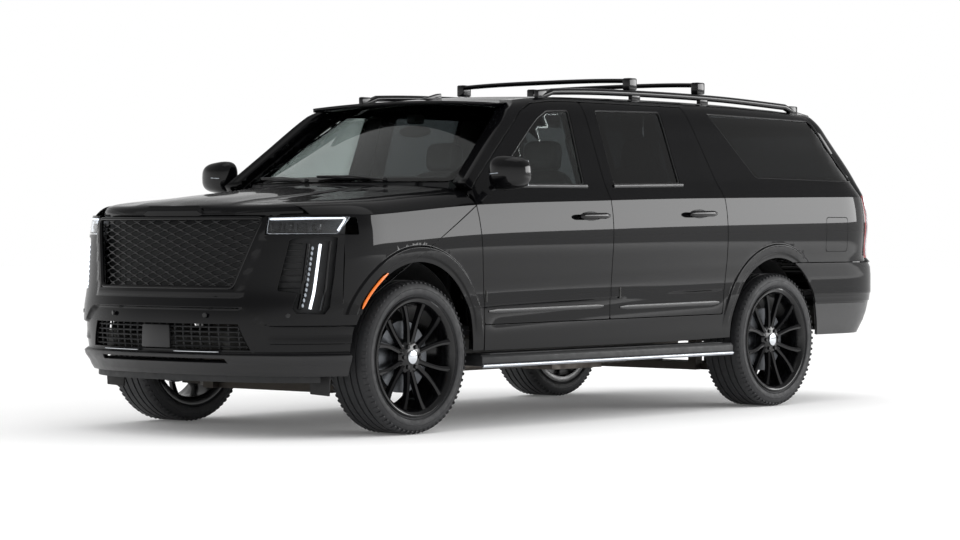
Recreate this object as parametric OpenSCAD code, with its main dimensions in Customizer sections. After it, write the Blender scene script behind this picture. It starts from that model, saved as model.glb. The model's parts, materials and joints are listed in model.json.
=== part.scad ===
// Long-wheelbase full-size SUV, standing on its four wheels.
// Millimetres. +Z is up, the nose points to -Y, the left side is +X.
// The origin lies on the ground, halfway along the vehicle and on its middle line.

/* [Overall] */
// Distance between the front and the rear axle
wheelbase = 3407; // [3000:1:3800]
// Front axle to the foremost point of the nose
front_overhang = 997; // [900:1:1150]
// Rear axle to the rearmost point of the tail
rear_overhang = 1386; // [1200:1:1500]
// Width over the body sides, without the mirrors
body_w = 2060; // [1900:1:2300]
// Height of the roof panel along its middle
roof_h = 1925; // [1800:1:2100]
// Distance between the centres of the left and right tyres
track = 1736; // [1650:1:1760]

/* [Body heights] */
// Height of the shoulder crease at the middle of the vehicle
crease_h = 1284; // [1200:1:1350]
// Height of the bottom edges of the doors
door_bottom_h = 585; // [540:1:640]
// Height of the underside of the bumpers
bumper_bottom_h = 330; // [280:1:380]
// Height of the hood at the windshield
cowl_h = 1392; // [1340:1:1440]
// Height of the hood at its front edge
hood_front_h = 1242; // [1200:1:1290]
// Front edge of the front door to the hinge line of the hood
hood_hinge_ahead = 60; // [40:1:90]
// Height of the hinge line of the hood
hood_hinge_h = 1296; // [1250:1:1310]
// Rearmost point to the hinge line of the liftgate
gate_hinge_ahead = 602; // [590:1:620]
// Roof's top to the hinge line of the liftgate
gate_hinge_drop = 64; // [58:1:70]

/* [Doors] */
// Front axle to the front edge of the front door, at the shoulder
front_door_back = 495; // [440:1:560]
// Middle of the wheelbase to the gap between the doors
middle_gap = 0; // [-60:1:60]
// Rear axle to the rear edge of the rear door, at the shoulder
rear_door_ahead = 568; // [520:1:640]
// Thickness of a door below its window
door_t = 110; // [80:1:130]
// Thickness of a door's window frame
frame_t = 44; // [30:1:60]
// Gap around every moving panel
panel_gap = 8; // [7:0.5:12]
// Gap between two panels that stay put
seam = 0.8; // [0.5:0.1:0.9]
// Front edge of a door to its hinge line
door_hinge_back = 80; // [70:1:100]
// Widest line of the body to the hinge line of a door
door_hinge_in = 22; // [18:1:26]
// Thickness of the side glass
glass_t = 5; // [3:0.5:8]

/* [Wheels] */
// Diameter over the tread
tyre_d = 838; // [780:1:860]
// Width of the tyre
tyre_w = 285; // [235:1:315]
// Diameter where the tyre sits on the rim
bead_d = 610; // [560:1:620]
// Diameter of the wheel's edge
rim_d = 648; // [600:1:660]
// Number of twin spokes
spokes = 6; // [5:1:9]
// Radius of the wheel openings
arch_r = 482; // [470:1:520]
// Largest steering angle
steer_deg = 34; // [25:1:36]

/* [Frame] */
// Height of the side rails
rail_h = 150; // [120:1:180]
// Width of the side rails
rail_w = 80; // [60:1:100]
// Height of the underside of the side rails
rail_z = 330; // [300:1:380]
// Inside width of the trailer hitch tube
hitch_in = 50.8; // [50:0.1:64]
// Wall of the trailer hitch tube
hitch_wall = 6.35; // [4:0.05:8]
// Radius of the hole for the hitch pin
hitch_pin_r = 8; // [6:0.5:9]
// Radius of the holes for the plate screws
plate_hole_r = 3.5; // [2.5:0.5:5]
// Clearance of a pin in its hole
pin_gap = 0.4; // [0.3:0.1:0.6]

/* [Hidden] */
$fn = 48;

tail_y = (front_overhang + wheelbase + rear_overhang) / 2;
nose_y = -tail_y;
axle_f = nose_y + front_overhang;
axle_r = tail_y - rear_overhang;
mid_y = (axle_f + axle_r) / 2;
half_w = body_w / 2;
axle_z = tyre_d / 2;
roof_edge_h = roof_h - 25;

// ---- Curves -------------------------------------------------------------
// A smooth curve through the points [x, y] of a table.
function span(x, t, i = 0) = i >= len(t) - 2 || x < t[i + 1][0] ? i : span(x, t, i + 1);
function slope(t, i) =
    let (a = max(i - 1, 0), b = min(i + 1, len(t) - 1)) (t[b][1] - t[a][1]) / (t[b][0] - t[a][0]);
function curve(x, t) =
    let (i = span(x, t), w = t[i + 1][0] - t[i][0], u = min(max((x - t[i][0]) / w, 0), 1))
    (2 * u ^ 3 - 3 * u ^ 2 + 1) * t[i][1] + (u ^ 3 - 2 * u ^ 2 + u) * w * slope(t, i)
    + (3 * u ^ 2 - 2 * u ^ 3) * t[i + 1][1] + (u ^ 3 - u ^ 2) * w * slope(t, i + 1);

// ---- Shape of the body --------------------------------------------------
// Seen from above, both ends are superellipses that start where the sides stop being straight.
// By height, each end leans back from its outermost point.
nose_side_y = axle_f - 260;
tail_side_y = axle_r + 640;
nose_power = 2.5;
tail_power = 4;
nose_lean = [[300, 120], [360, 60], [460, 14], [620, 0], [800, 40], [1000, 78], [1160, 112],
    [1240, 150], [1300, 190]];
tail_lean = [[330, 330], [440, 175], [560, 40], [700, 0], [810, 0], [880, 30], [930, 128],
    [1180, 132], [1340, 155], [1440, 200], [1600, 330], [1760, 480], [1850, 560]];
function nose_run(z) = nose_side_y - nose_y - curve(z, nose_lean);
function tail_run(z) = tail_y - tail_side_y - curve(z, tail_lean);
function end_width(run, power) = (1 - min(max(run, 0), 1) ^ power) ^ (1 / power);
function plan_w(y, z) =
    y < nose_side_y ? half_w * end_width((nose_side_y - y) / nose_run(z), nose_power)
    : y > tail_side_y ? half_w * end_width((y - tail_side_y) / tail_run(z), tail_power)
    : half_w;

// Heights of the shoulder crease and of the roof's edge along the vehicle.
function crease(y) = crease_h + curve(y, [[nose_y, -105], [axle_f - 450, -98],
    [axle_f + 500, -34], [mid_y, 0], [axle_r - 900, 18], [tail_y - 300, 46]]);
function roof_edge(y) = roof_edge_h + curve(y, [[axle_f + 750, -80], [axle_f + 1050, -45],
    [axle_f + 1400, -12], [mid_y + 200, 0], [axle_r - 500, 0], [axle_r + 350, -12],
    [tail_y - 450, -42]]);

// How far the side lies inside the plan outline: below the crease by z / crease,
// above it by the share of the way up to the roof's edge.
side_low = [[0.2, 70], [0.3, 42], [0.45, 30], [0.54, 20], [0.6, 21], [0.7, 12], [0.83, 0],
    [0.93, 6], [1, 20]];
side_high = [[0, 20], [0.1, 50], [0.16, 68], [0.55, 148], [0.82, 204], [0.92, 240],
    [0.97, 276], [1, 325]];
function side_inset(y, z) = let (c = crease(y))
    z <= c ? curve(z / c, side_low) : curve((z - c) / (roof_edge(y) - c), side_high);
// The glasshouse tapers towards the tail.
function taper(y, z) = z <= crease(y) ? 0
    : min((z - crease(y)) / 300, 1) * curve(y, [[axle_r - 700, 0], [axle_r, 6], [tail_y - 400, 30]]);
function side_x(y, z) = plan_w(y, z) - side_inset(y, z) - taper(y, z);

// Height of the hood: its middle line, and how far it falls towards its sides.
hood_fall = [[0, 0], [0.5, 12], [0.75, 36], [0.87, 60], [1, 120]];
hood_share = 0.86;
function hood_mid(y) = curve(y, [[nose_y + 100, hood_front_h - 12], [nose_y + 300, hood_front_h + 26],
    [axle_f, hood_front_h + 100], [axle_f + 500, cowl_h]]);
function hood_z(x, y) = hood_mid(y) - curve(min(abs(x) / (plan_w(y, 1240) - 20), 1), hood_fall)
    * curve(y, [[nose_y + 100, 0.3], [axle_f - 200, 0.9], [axle_f + 300, 1]]);
function hood_half(y) = (plan_w(y, 1240) - 20) * hood_share;

// Windshield: its middle line rises from the cowl to the roof and its sides sweep back.
glass_foot_y = axle_f + 300;
glass_foot_z = cowl_h - 14;
glass_head_y = axle_f + 1110;
glass_head_z = roof_h - 62;
glass_bow = 0.000356;
function glass_y(x, s) = glass_foot_y + s * (glass_head_y - glass_foot_y) + glass_bow * x ^ 2;
function glass_z(x, s) = glass_foot_z + s * (glass_head_z - glass_foot_z) - s * 0.00009 * x ^ 2;
function glass_half(s) = 800 - 140 * s;

// Roof: its middle line, and how far it falls towards its edges.
roof_half = 690;
function roof_mid(y) = roof_h + curve(y, [[axle_f + 1080, -58], [axle_f + 1400, -22], [mid_y + 300, 0],
    [axle_r - 300, 0], [axle_r + 500, -26], [tail_y - 450, -48]]);
function roof_z(x, y) = roof_mid(y) - 24 * (x / roof_half) ^ 2;

// ---- Solids from curves -------------------------------------------------
function steps(a, b, n) = [for (i = [0:n]) a + (b - a) * i / n];

// A closed solid between two grids of points, each a list of rows.
module between(outer, inner) {
    r = len(outer);
    c = len(outer[0]);
    function at(k, i, j) = k * r * c + i * c + j;
    function quad(a, b, c, d) = [[a, b, c], [a, c, d]];
    polyhedron(points = [for (g = [outer, inner], row = g, p = row) p], faces = [
        for (i = [0:r - 2], j = [0:c - 2], f = concat(
            quad(at(0, i, j), at(0, i, j + 1), at(0, i + 1, j + 1), at(0, i + 1, j)),
            quad(at(1, i, j), at(1, i + 1, j), at(1, i + 1, j + 1), at(1, i, j + 1)))) f,
        for (i = [0:r - 2], f = concat(
            quad(at(0, i, 0), at(0, i + 1, 0), at(1, i + 1, 0), at(1, i, 0)),
            quad(at(0, i, c - 1), at(1, i, c - 1), at(1, i + 1, c - 1), at(0, i + 1, c - 1)))) f,
        for (j = [0:c - 2], f = concat(
            quad(at(0, 0, j), at(1, 0, j), at(1, 0, j + 1), at(0, 0, j + 1)),
            quad(at(0, r - 1, j), at(0, r - 1, j + 1), at(1, r - 1, j + 1), at(1, r - 1, j)))) f]);
}

// Keeps what it holds as one closed mesh.
module shell() {
    resize([0, 0, 0]) children();
}

// A slab of the left side, from depth d0 to depth d1.
module side_slab(y0, y1, z0, z1, ny, nz, d0, d1) {
    function rows(d) = [for (y = steps(y0, y1, ny)) [for (z = steps(z0, z1, nz))
        let (h = min(z, roof_edge(y))) [side_x(y, h) - d, y, z]]];
    between(rows(d0), rows(d1));
}

// A slab around the nose or the tail; the angle a is 0 in the middle and 90 at the sides.
module end_slab(side_y, run, power, a0, a1, z0, z1, na, nz, d0, d1) {
    function rim(a, p) = sign(a) * abs(a) ^ (2 / p);
    function rows(d) = [for (a = steps(a0, a1, na)) [for (z = steps(z0, z1, nz))
        [rim(sin(a), power) * (half_w - curve(z / crease_h, side_low) - d),
         side_y + (run < 0 ? -1 : 1) * rim(cos(a), power) * (abs(run_at(run, z)) - d), z]]];
    if (run < 0) between(rows(d0), rows(d1));
    else between(rows(d1), rows(d0));
}
function run_at(run, z) = run < 0 ? nose_run(z) : tail_run(z);

module nose_slab(a0, a1, z0, z1, na, nz, d0, d1) {
    end_slab(nose_side_y, -1, nose_power, a0, a1, z0, z1, na, nz, d0, d1);
}

module tail_slab(a0, a1, z0, z1, na, nz, d0, d1) {
    end_slab(tail_side_y, 1, tail_power, a0, a1, z0, z1, na, nz, d0, d1);
}

// A flat shape in Y and Z, extruded along X.
module through_side(from = 300, to = 1400) {
    translate([from, 0, 0]) rotate([90, 0, 90]) linear_extrude(to - from) children();
}

// A flat shape in X and Z, extruded along Y.
module through_front(from, to) {
    translate([0, to, 0]) rotate([90, 0, 0]) linear_extrude(to - from) children();
}

module both_sides() {
    children();
    mirror([1, 0, 0]) children();
}

module box(x0, x1, y0, y1, z0, z1) {
    translate([x0, y0, z0]) cube([x1 - x0, y1 - y0, z1 - z0]);
}

// A cylinder along X from x0 to x1.
module rod_x(x0, x1, y, z, r) {
    translate([x0, y, z]) rotate([0, 90, 0]) cylinder(h = x1 - x0, r = r);
}
// ---- Outlines of the doors and windows, in Y and Z -----------------------
gap_y = mid_y + middle_gap;
door_front_y = axle_f + front_door_back;
door_rear_y = axle_r - rear_door_ahead;
door_top_h = roof_edge_h - 38;
belt = 88;
half_gap = panel_gap / 2;

front_door_line = [[door_front_y + 83, door_bottom_h], [door_front_y + 52, 850],
    [door_front_y + 25, 1060], [door_front_y, 1240], [door_front_y + 12, 1335],
    [door_front_y + 108, 1410], [door_front_y + 365, 1600], [door_front_y + 620, 1791],
    [door_front_y + 745, 1840], [door_front_y + 905, door_top_h - 6],
    [gap_y - 150, door_top_h], [gap_y - 18 - half_gap, door_top_h],
    [gap_y - half_gap, 1330], [gap_y - half_gap, door_bottom_h + 6]];
rear_door_line = [[gap_y + half_gap, door_bottom_h + 6], [gap_y + half_gap, 1330],
    [gap_y - 18 + half_gap, door_top_h], [door_rear_y - 159, door_top_h],
    [door_rear_y - 80, 1600], [door_rear_y - 12, 1360], [door_rear_y, 1290],
    [door_rear_y + 10, 930], [door_rear_y - 15, door_bottom_h + 12]];
front_window = [[door_front_y + 218, 1364], [door_front_y + 440, 1538], [door_front_y + 655, 1698],
    [door_front_y + 740, 1756], [door_front_y + 850, 1806], [gap_y - 157, 1814], [gap_y - 189, 1370]];
rear_window = [[gap_y + 85, 1374], [gap_y + 86, 1820], [gap_y + 730, 1830], [gap_y + 740, 1388]];
quarter_window = [[axle_r - 152, 1436], [axle_r - 495, 1838], [axle_r + 690, 1826],
    [axle_r + 800, 1690], [axle_r + 1000, 1424]];
fuel_line = [[axle_r + 530, 975], [axle_r + 770, 975], [axle_r + 770, 1190], [axle_r + 530, 1190]];

// The side is thick below the windows and thin beside them; it changes at this height.
belt_h = crease_h + 52;
skin_t = 12;
lip_t = 45;

// A slab with one depth below the belt and another above it.
module belt_slab(y0, y1, z0, z1, ny, d0, low, high, split = belt_h) {
    side_slab(y0, y1, z0, split, ny, 9, d0, low);
    side_slab(y0, y1, split - 1, z1, ny, 7, d0, high);
}
hinge_x = half_w - door_hinge_in;
hinge_z = [740, 1090];
pin_r = 7;

// Room in a door for the arm of a hinge, and the holes for its pin.
module hinge_room(y) {
    for (z = hinge_z) translate([hinge_x, y, z]) {
        translate([-115, -door_hinge_back - 20, -24]) cube([115 + pin_r + 4, door_hinge_back + 36, 48]);
        translate([0, 0, -34]) cylinder(h = 68, r = pin_r + pin_gap);
    }
}

// Arms on the pillar, each with a bore that holds its pin.
pin_fit = 0.3;
module hinge_arms(y) {
    for (z = hinge_z) translate([hinge_x, y, z]) difference() {
        union() {
            translate([-132, -11, -17]) cube([132, 22, 34]);
            translate([-138, -60, -17]) cube([18, 71, 34]);
        }
        translate([0, 0, -20]) cylinder(h = 40, r = pin_r + pin_fit);
    }
}
module hinge_pins(y) {
    for (z = hinge_z) translate([hinge_x, y, z - 32]) cylinder(h = 64, r = pin_r);
}

// ---- Doors ---------------------------------------------------------------
module door_core_outline(line, front_y) {
    difference() {
        intersection() {
            offset(-22) polygon(line);
            translate([nose_y, 0]) square([tail_y - nose_y, belt_h]);
        }
        translate([front_y - 300, 0]) square([300 + door_hinge_back + 14, belt_h + 1]);
    }
    intersection() {
        offset(-14) polygon(line);
        translate([nose_y, belt_h - 1]) square([tail_y - nose_y, roof_h]);
    }
}

function first_y(line) = min([for (p = line) p[0]]) - 20;
function last_y(line) = max([for (p = line) p[0]]) + 20;
module door(line, window, front_y) {
    y0 = first_y(line);
    y1 = last_y(line);
    shell() difference() {
        union() {
            intersection() {
                union() {
                    belt_slab(y0, y1, 500, 1880, 7, 0, skin_t, skin_t);
                    side_slab(y0, y1, 500, belt_h, 7, 9, 6, lip_t);
                }
                through_side() polygon(line);
            }
            intersection() {
                belt_slab(y0, y1, 500, 1880, 7, 6, door_t, frame_t);
                through_side() door_core_outline(line, front_y);
            }
        }
        through_side() polygon(window);
        hinge_room(front_y + door_hinge_back);
    }
}

module side_glass(window) {
    y0 = first_y(window);
    y1 = last_y(window);
    shell() intersection() {
        side_slab(y0, y1, 1340, 1850, 5, 7, 16, 16 + glass_t);
        through_side() offset(-0.3) polygon(window);
    }
}

module front_door() {
    door(front_door_line, front_window, door_front_y);
}

module rear_door() {
    door(rear_door_line, rear_window, gap_y + half_gap);
}

// The mirror's housing on its short arm, seated on the door at the foot of the window.
module mirror_unit() {
    y = door_front_y + 130;
    foot_x = side_x(y + 60, 1318);
    shell() difference() {
        union() {
        hull() {
            translate([foot_x + 40, y + 10, 1385]) scale([1, 0.7, 0.6]) sphere(60, $fn = 20);
            translate([1215, y + 20, 1440]) scale([0.9, 1.4, 1.2]) sphere(62, $fn = 20);
            translate([1080, y + 26, 1446]) scale([0.9, 1.3, 1.1]) sphere(62, $fn = 20);
        }
        hull() {
            translate([foot_x - 30, y - 6, 1328]) cube([100, 110, 10]);
            translate([foot_x + 40, y, 1370]) cube([80, 60, 10]);
        }
        }
        belt_slab(first_y(front_door_line), last_y(front_door_line), 500, 1880, 7, -0.4, 200, 200);
    }
}

module front_door_left() {
    color("#0b0b0d") front_door();
}
module front_door_right() {
    color("#0b0b0d") mirror([1, 0, 0]) front_door();
}
module rear_door_left() {
    color("#0b0b0d") rear_door();
}
module rear_door_right() {
    color("#0b0b0d") mirror([1, 0, 0]) rear_door();
}
module front_door_glass_left() {
    color("#303438", 0.5) side_glass(front_window);
}
module front_door_glass_right() {
    color("#303438", 0.5) mirror([1, 0, 0]) side_glass(front_window);
}
module rear_door_glass_left() {
    color("#16181a", 0.7) side_glass(rear_window);
}
module rear_door_glass_right() {
    color("#16181a", 0.7) mirror([1, 0, 0]) side_glass(rear_window);
}
module mirror_left() {
    color("#0b0b0d") mirror_unit();
}
module mirror_right() {
    color("#0b0b0d") mirror([1, 0, 0]) mirror_unit();
}

// ---- Fixed body panels ----------------------------------------------------
arch_f_y = axle_f;
arch_r_y = axle_r - 10;
arch_z = axle_z + 36;
bumper_top_h = 905;
fender_front_y = axle_f - 540;

module arch_cut(y, r = arch_r) {
    rod_x(300, 1400, y, arch_z, r);
    box(300, 1400, y - r, y + r, -10, arch_z);
}

// Everything of the left side that stays put: sill, pillars, roof rail and rear quarter.
module body_side(with_fuel) {
    front_y = axle_f + 488;
    windshield_line = [[door_front_y + 84, 250], [door_front_y + 84, 570], [door_front_y + 60, 850], [door_front_y + 40, 1180],
        [door_front_y + 30, 1318], [door_front_y - 30, 1372], [door_front_y + 520, 1800],
        [door_front_y + 640, 1960], [tail_y - 240, 1960], [tail_y - 240, 250]];
    shell() difference() {
        intersection() {
            belt_slab(front_y, tail_y - 260, 430, roof_h - 25, 18, 0, door_t + 40, frame_t + 56);
            through_side() polygon(windshield_line);
        }
        intersection() {
            belt_slab(front_y - 60, tail_y - 900, 380, 1900, 8, -60, door_t + 12, frame_t + 32, belt_h + 12);
            through_side() {
                offset(panel_gap) polygon(front_door_line);
                offset(panel_gap) polygon(rear_door_line);
            }
        }
        through_side() {
            offset(-46) polygon(front_door_line);
            offset(-46) polygon(rear_door_line);
            polygon(quarter_window);
        }
        intersection() {
            side_slab(axle_r + 480, axle_r + 820, 940, 1220, 3, 3, -60, with_fuel ? 74 : -50);
            through_side() offset(panel_gap + 6) polygon(fuel_line);
        }
        box(0, floor_half + 0.3, nose_y, tail_y, 0, 1200);
        arch_cut(arch_r_y);
        tail_cut();
        if (with_fuel) translate([fuel_hinge_x, fuel_hinge_y, fuel_pin_z - pin_fit])
            cylinder(h = fuel_pin_h + 2 * pin_fit, r = fuel_pin_r + pin_fit);
        // The roof panel and the liftgate lie inside these.
        box(0, roof_half + seam, nose_y, tail_y, roof_h - 100, roof_h + 100);
    }
}

// Room behind the quarter panel for the bumper, the lamp and the liftgate.
module tail_cut() {
    box(300, 1400, arch_r_y, tail_y, 0, bumper_top_h + seam);
    through_side() tail_outline();
    through_front(tail_y - 374, tail_y) gate_outline(panel_gap);
}
module tail_outline() {
    polygon([[tail_y + 10, 0], [tail_y - 350, 900], [tail_y - 350, 1180],
        [tail_y - 355, 1340], [tail_y - 400, 1440], [tail_y - 520, 1600], [tail_y - 640, 1760],
        [tail_y - 690, 1850], [tail_y - 720, 2000], [tail_y + 10, 2000]]);
}

module side_with_hinges(with_fuel) {
    shell() {
        body_side(with_fuel);
        hinge_arms(front_hinge_y);
        hinge_arms(rear_hinge_y);
        // Hinge pillar ahead of the front door.
        box(floor_half + 0.3, hinge_x - 119, axle_f + arch_r + 20, door_front_y + 110, 440, 1200);
    }
    hinge_pins(front_hinge_y);
    hinge_pins(rear_hinge_y);
    if (with_fuel) translate([fuel_hinge_x, fuel_hinge_y, fuel_pin_z]) cylinder(h = fuel_pin_h, r = fuel_pin_r);
}

module body_sides() {
    color("#0b0b0d") {
        side_with_hinges(true);
        mirror([1, 0, 0]) side_with_hinges(false);
    }
}

fuel_hinge_x = 1004;
fuel_hinge_in = 40;
fuel_hinge_y = axle_r + 530 + fuel_hinge_in;
fuel_pin_r = 3;
fuel_pin_z = 955;
fuel_pin_h = 255;
front_hinge_y = door_front_y + door_hinge_back;
rear_hinge_y = gap_y + half_gap + door_hinge_back;
module fuel_door() {
    y = fuel_hinge_y;
    color("#0b0b0d") shell() difference() {
        union() {
            intersection() {
                side_slab(axle_r + 480, axle_r + 820, 940, 1220, 3, 3, 0, 12);
                through_side() polygon(fuel_line);
            }
            box(fuel_hinge_x - 8, fuel_hinge_x + 12, y - 8, y + 8, 1060, 1105);
        }
        translate([fuel_hinge_x, y, 1050]) cylinder(h = 65, r = fuel_pin_r + pin_gap);
    }
}

module quarter_glass() {
    color("#16181a", 0.7) both_sides() shell() intersection() {
        side_slab(axle_r - 520, axle_r + 1020, 1400, 1850, 8, 7, 14, 14 + glass_t);
        through_side() offset(-0.3) polygon(quarter_window);
    }
}

module roof_slab(d0, d1) {
    function rows(d) = [for (s = steps(0, 1, 12)) [for (x = steps(-roof_half, roof_half, 8))
        let (front = glass_y(x, 1) + 5.2, y = front + s * (gate_hinge_y - 16 - front))
            [x, y, roof_z(x, y) - d]]];
    between(rows(d1), rows(d0));
}

module roof_panel() {
    color("#0b0b0d") {
        shell() {
            roof_slab(0, 40);
            gate_brackets();
        }
        both_sides() rod_x(gate_lug_x - 14, gate_lug_x + 44, gate_hinge_y, gate_hinge_z, gate_pin_r);
    }
}

module windshield() {
    function rows(d) = [for (s = steps(0, 1, 6)) [for (t = steps(-1, 1, 8))
        let (x = t * glass_half(s)) [x, glass_y(x, s) + d * 0.52, glass_z(x, s) - d * 0.86]]];
    color("#3a3f44", 0.4) shell() between(rows(6), rows(0));
}

// Front wing: skin from the wheel opening up over the shoulder to the hood's edge.
module fender() {
    skin = 12;
    hood_gap = panel_gap;
    function shoulder(y, t) = let (c = crease(y), x1 = hood_half(y) + hood_gap)
        [side_x(y, c) + (x1 - side_x(y, c)) * t,
         c + (hood_z(x1, y) - c) * (1 - (1 - t) ^ 2)];
    function rows(d) = [for (y = steps(fender_front_y, door_front_y + 84, 12))
        concat([for (z = steps(420, crease(y), 9)) [side_x(y, z) - d, y, z]],
               [for (t = steps(0.2, 1, 4)) let (p = shoulder(y, t))
                   [p[0] - d * (1 - t), y, p[1] - d * min(1, 2 * t)]])];
    shell() difference() {
        between(rows(0), rows(skin));
        arch_cut(arch_f_y);
        box(300, 1400, nose_y, arch_f_y, 0, bumper_side_h + seam);
        through_side() polygon([[door_front_y + 83 - panel_gap, 0], [door_front_y + 83 - panel_gap, 580],
            [door_front_y + 52 - panel_gap, 850], [door_front_y + 25 - panel_gap, 1060],
            [door_front_y - panel_gap, 1240], [door_front_y - 30, 1500], [door_front_y + 400, 1500],
            [door_front_y + 400, 0]]);
        headlamp_room(seam);
    }
}
bumper_side_h = 660;
lamp_low = 1085;
lamp_high = 1176;
lamp_inner = 652;
lamp_rear_y = axle_f - 456;

module headlamp_room(gap) {
    box(lamp_inner - gap, 1400, nose_y, lamp_rear_y + gap, lamp_low - gap, lamp_high + gap);
}

module front_fenders() {
    color("#0b0b0d") both_sides() fender();
}

module headlamps() {
    color("#202428") both_sides() shell() intersection() {
        nose_slab(0, 90, 1060, 1200, 14, 2, 0, 70);
        headlamp_room(0);
    }
}

grille_top = 1171;
grille_low = 794;
module grille_outline(gap = 0) {
    offset(gap) polygon([[-640, grille_top], [-512, grille_low], [512, grille_low], [640, grille_top]]);
}
module intake_outline(gap = 0) {
    offset(gap) polygon([[-560, 612], [-620, 462], [620, 462], [560, 612]]);
}

module front_bumper() {
    color("#0b0b0d") shell() difference() {
        union() {
            nose_slab(-90, 90, bumper_bottom_h, lamp_low - seam, 24, 12, 0, 60);
        }
        through_front(nose_y - 50, nose_y + 300) {
            grille_outline(seam);
            intake_outline();
        }
        both_sides() {
            arch_cut(arch_f_y);
            box(300, 1400, fender_front_y - seam, mid_y, bumper_side_h, 1300);
            rail_room();
        }
        box(-620, 620, nose_y + front_plate_in, nose_y + 400, 462, 634);
    }
    color("#101012") through_front(nose_y + front_plate_in + 0.3, nose_y + front_plate_in + 30) {
        difference() {
            translate([-619.7, 462.3]) square([1239.4, 171.4]);
            for (z = [482:40:570], x = [-540, 180]) translate([x, z]) square([360, 24]);
            plate_holes(front_plate_z);
        }
    }
}

// Screw holes of a plate, in X and Z.
plate_w = 177.8;
plate_h = 120.65;
front_plate_in = 66;
front_plate_z = 540;
rear_plate_in = 134;
rear_plate_z = 1060;
module plate_holes(z) {
    for (x = [-plate_w / 2, plate_w / 2], h = [-plate_h / 2, plate_h / 2])
        translate([x, z + h]) circle(plate_hole_r);
}

module grille() {
    color("#0a0a0a") shell() intersection() {
        nose_slab(-60, 60, grille_low - 20, grille_top, 12, 2, 8, 44);
        through_front(nose_y - 50, nose_y + 300) difference() {
            grille_outline();
            for (row = [0:4], col = [-4:4]) let (z = grille_low + 32 + row * 70, w = 106 + row * 4)
                translate([(col - 0.5) * (w + 14), z]) square([w, 52]);
        }
    }
}

module hood() {
    front = nose_y + 150;
    function edge_y(t) = let (x = t * 860) glass_y(x, 0) - 62;
    function front_y(t) = nose_side_y - (nose_run(1215) - 6)
        * end_width(abs(t) * hood_share * (half_w - 20) / (half_w - 20), nose_power);
    function rows(d) = [for (t = steps(-1, 1, 12)) [for (s = steps(0, 1, 10))
        let (y = front_y(t) + s * (min(edge_y(t), hood_hinge_y + 30) - front_y(t)), x = t * hood_half(max(y, nose_side_y - 330)))
            [x, y, hood_z(x, y) - d * (0.6 + 0.4 * s)]]];
    color("#0b0b0d") shell() {
        between(rows(0), rows(42));
        hood_lugs();
    }
}
hood_hinge_y = door_front_y - hood_hinge_ahead;

hood_lug_x = 610;

// Lugs under the hood, and the pins that hold them.
module hood_lugs() {
    both_sides() difference() {
        hull() {
            rod_x(hood_lug_x, hood_lug_x + 24, hood_hinge_y, hood_hinge_h, 15);
            box(hood_lug_x, hood_lug_x + 24, hood_hinge_y - 70, hood_hinge_y - 20, hood_hinge_h + 10,
                hood_hinge_h + 32);
        }
        rod_x(hood_lug_x - 10, hood_lug_x + 40, hood_hinge_y, hood_hinge_h, pin_r + pin_gap);
    }
}
module hood_pins() {
    both_sides() {
        rod_x(hood_lug_x - 24, hood_lug_x + 48, hood_hinge_y, hood_hinge_h, pin_r);
        for (x = [hood_lug_x - 36, hood_lug_x + 32])
            box(x, x + 28, hood_hinge_y - 9, hood_hinge_y + 9, 1180, hood_hinge_h + 8);
        box(hood_lug_x - 36, hood_lug_x + 60, hood_hinge_y - 9, firewall_y, 1150, 1190);
    }
}

// Panel between the hood, the windshield and the wings, with the firewall below it.
module cowl_panel() {
    function rows(dz) = [for (t = steps(-1, 1, 8)) let (x = t * 780) [
        [x, glass_y(x, 0) - 16, glass_foot_z - 64 - dz], [x, glass_y(x, 0) + 10, glass_foot_z - 3.6 - dz],
        [x, glass_y(x, 0) + 60, glass_foot_z + 24.4 - dz]]];
    color("#101010") {
        shell() difference() {
            between(rows(0), rows(36));
            // Room for the hood's lugs.
            both_sides() box(hood_lug_x - 10, hood_lug_x + 34, hood_hinge_y - 60, hood_hinge_y + 30, 1200, 1400);
        }
        box(-780, 780, firewall_y - 30, firewall_y, floor_z + floor_t + 0.3, 1270);
        hood_pins();
    }
}
firewall_y = axle_f + arch_r + 52;

module rear_bumper() {
    color("#0b0b0d") shell() difference() {
        tail_slab(-90, 90, 420, bumper_top_h, 22, 7, 0, 70);
        both_sides() {
            arch_cut(arch_r_y);
            box(300, 1400, mid_y, arch_r_y, 0, 1400);
            rail_room();
        }
        through_front(tail_y - 400, tail_y + 50) translate([-45, 380]) square([90, 130]);
        box(-490, 490, tail_y - 330, tail_y - 244, 380, 472);
    }
}

tail_lamp_w = 84;
module lamp_outline(gap = 0) {
    // In X and Z, as seen from behind.
    offset(gap) polygon([[872, 900], [1100, 900], [1100, 1900], [690, 1900], [705, 1790],
        [820, 1500], [868, 1340]]);
}

module tail_lamps() {
    color("#7a0d10") both_sides() shell() intersection() {
        tail_slab(0, 86, 905 + seam, 1790, 18, 16, 0, 90);
        through_front(tail_y - 900, tail_y) lamp_outline();
        through_side() offset(-seam - 5) tail_outline();
    }
}

gate_low = 925;
gate_hinge_y = tail_y - gate_hinge_ahead;
gate_hinge_z = roof_h - gate_hinge_drop;
gate_pin_r = 6;
gate_lug_x = 400;

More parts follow.
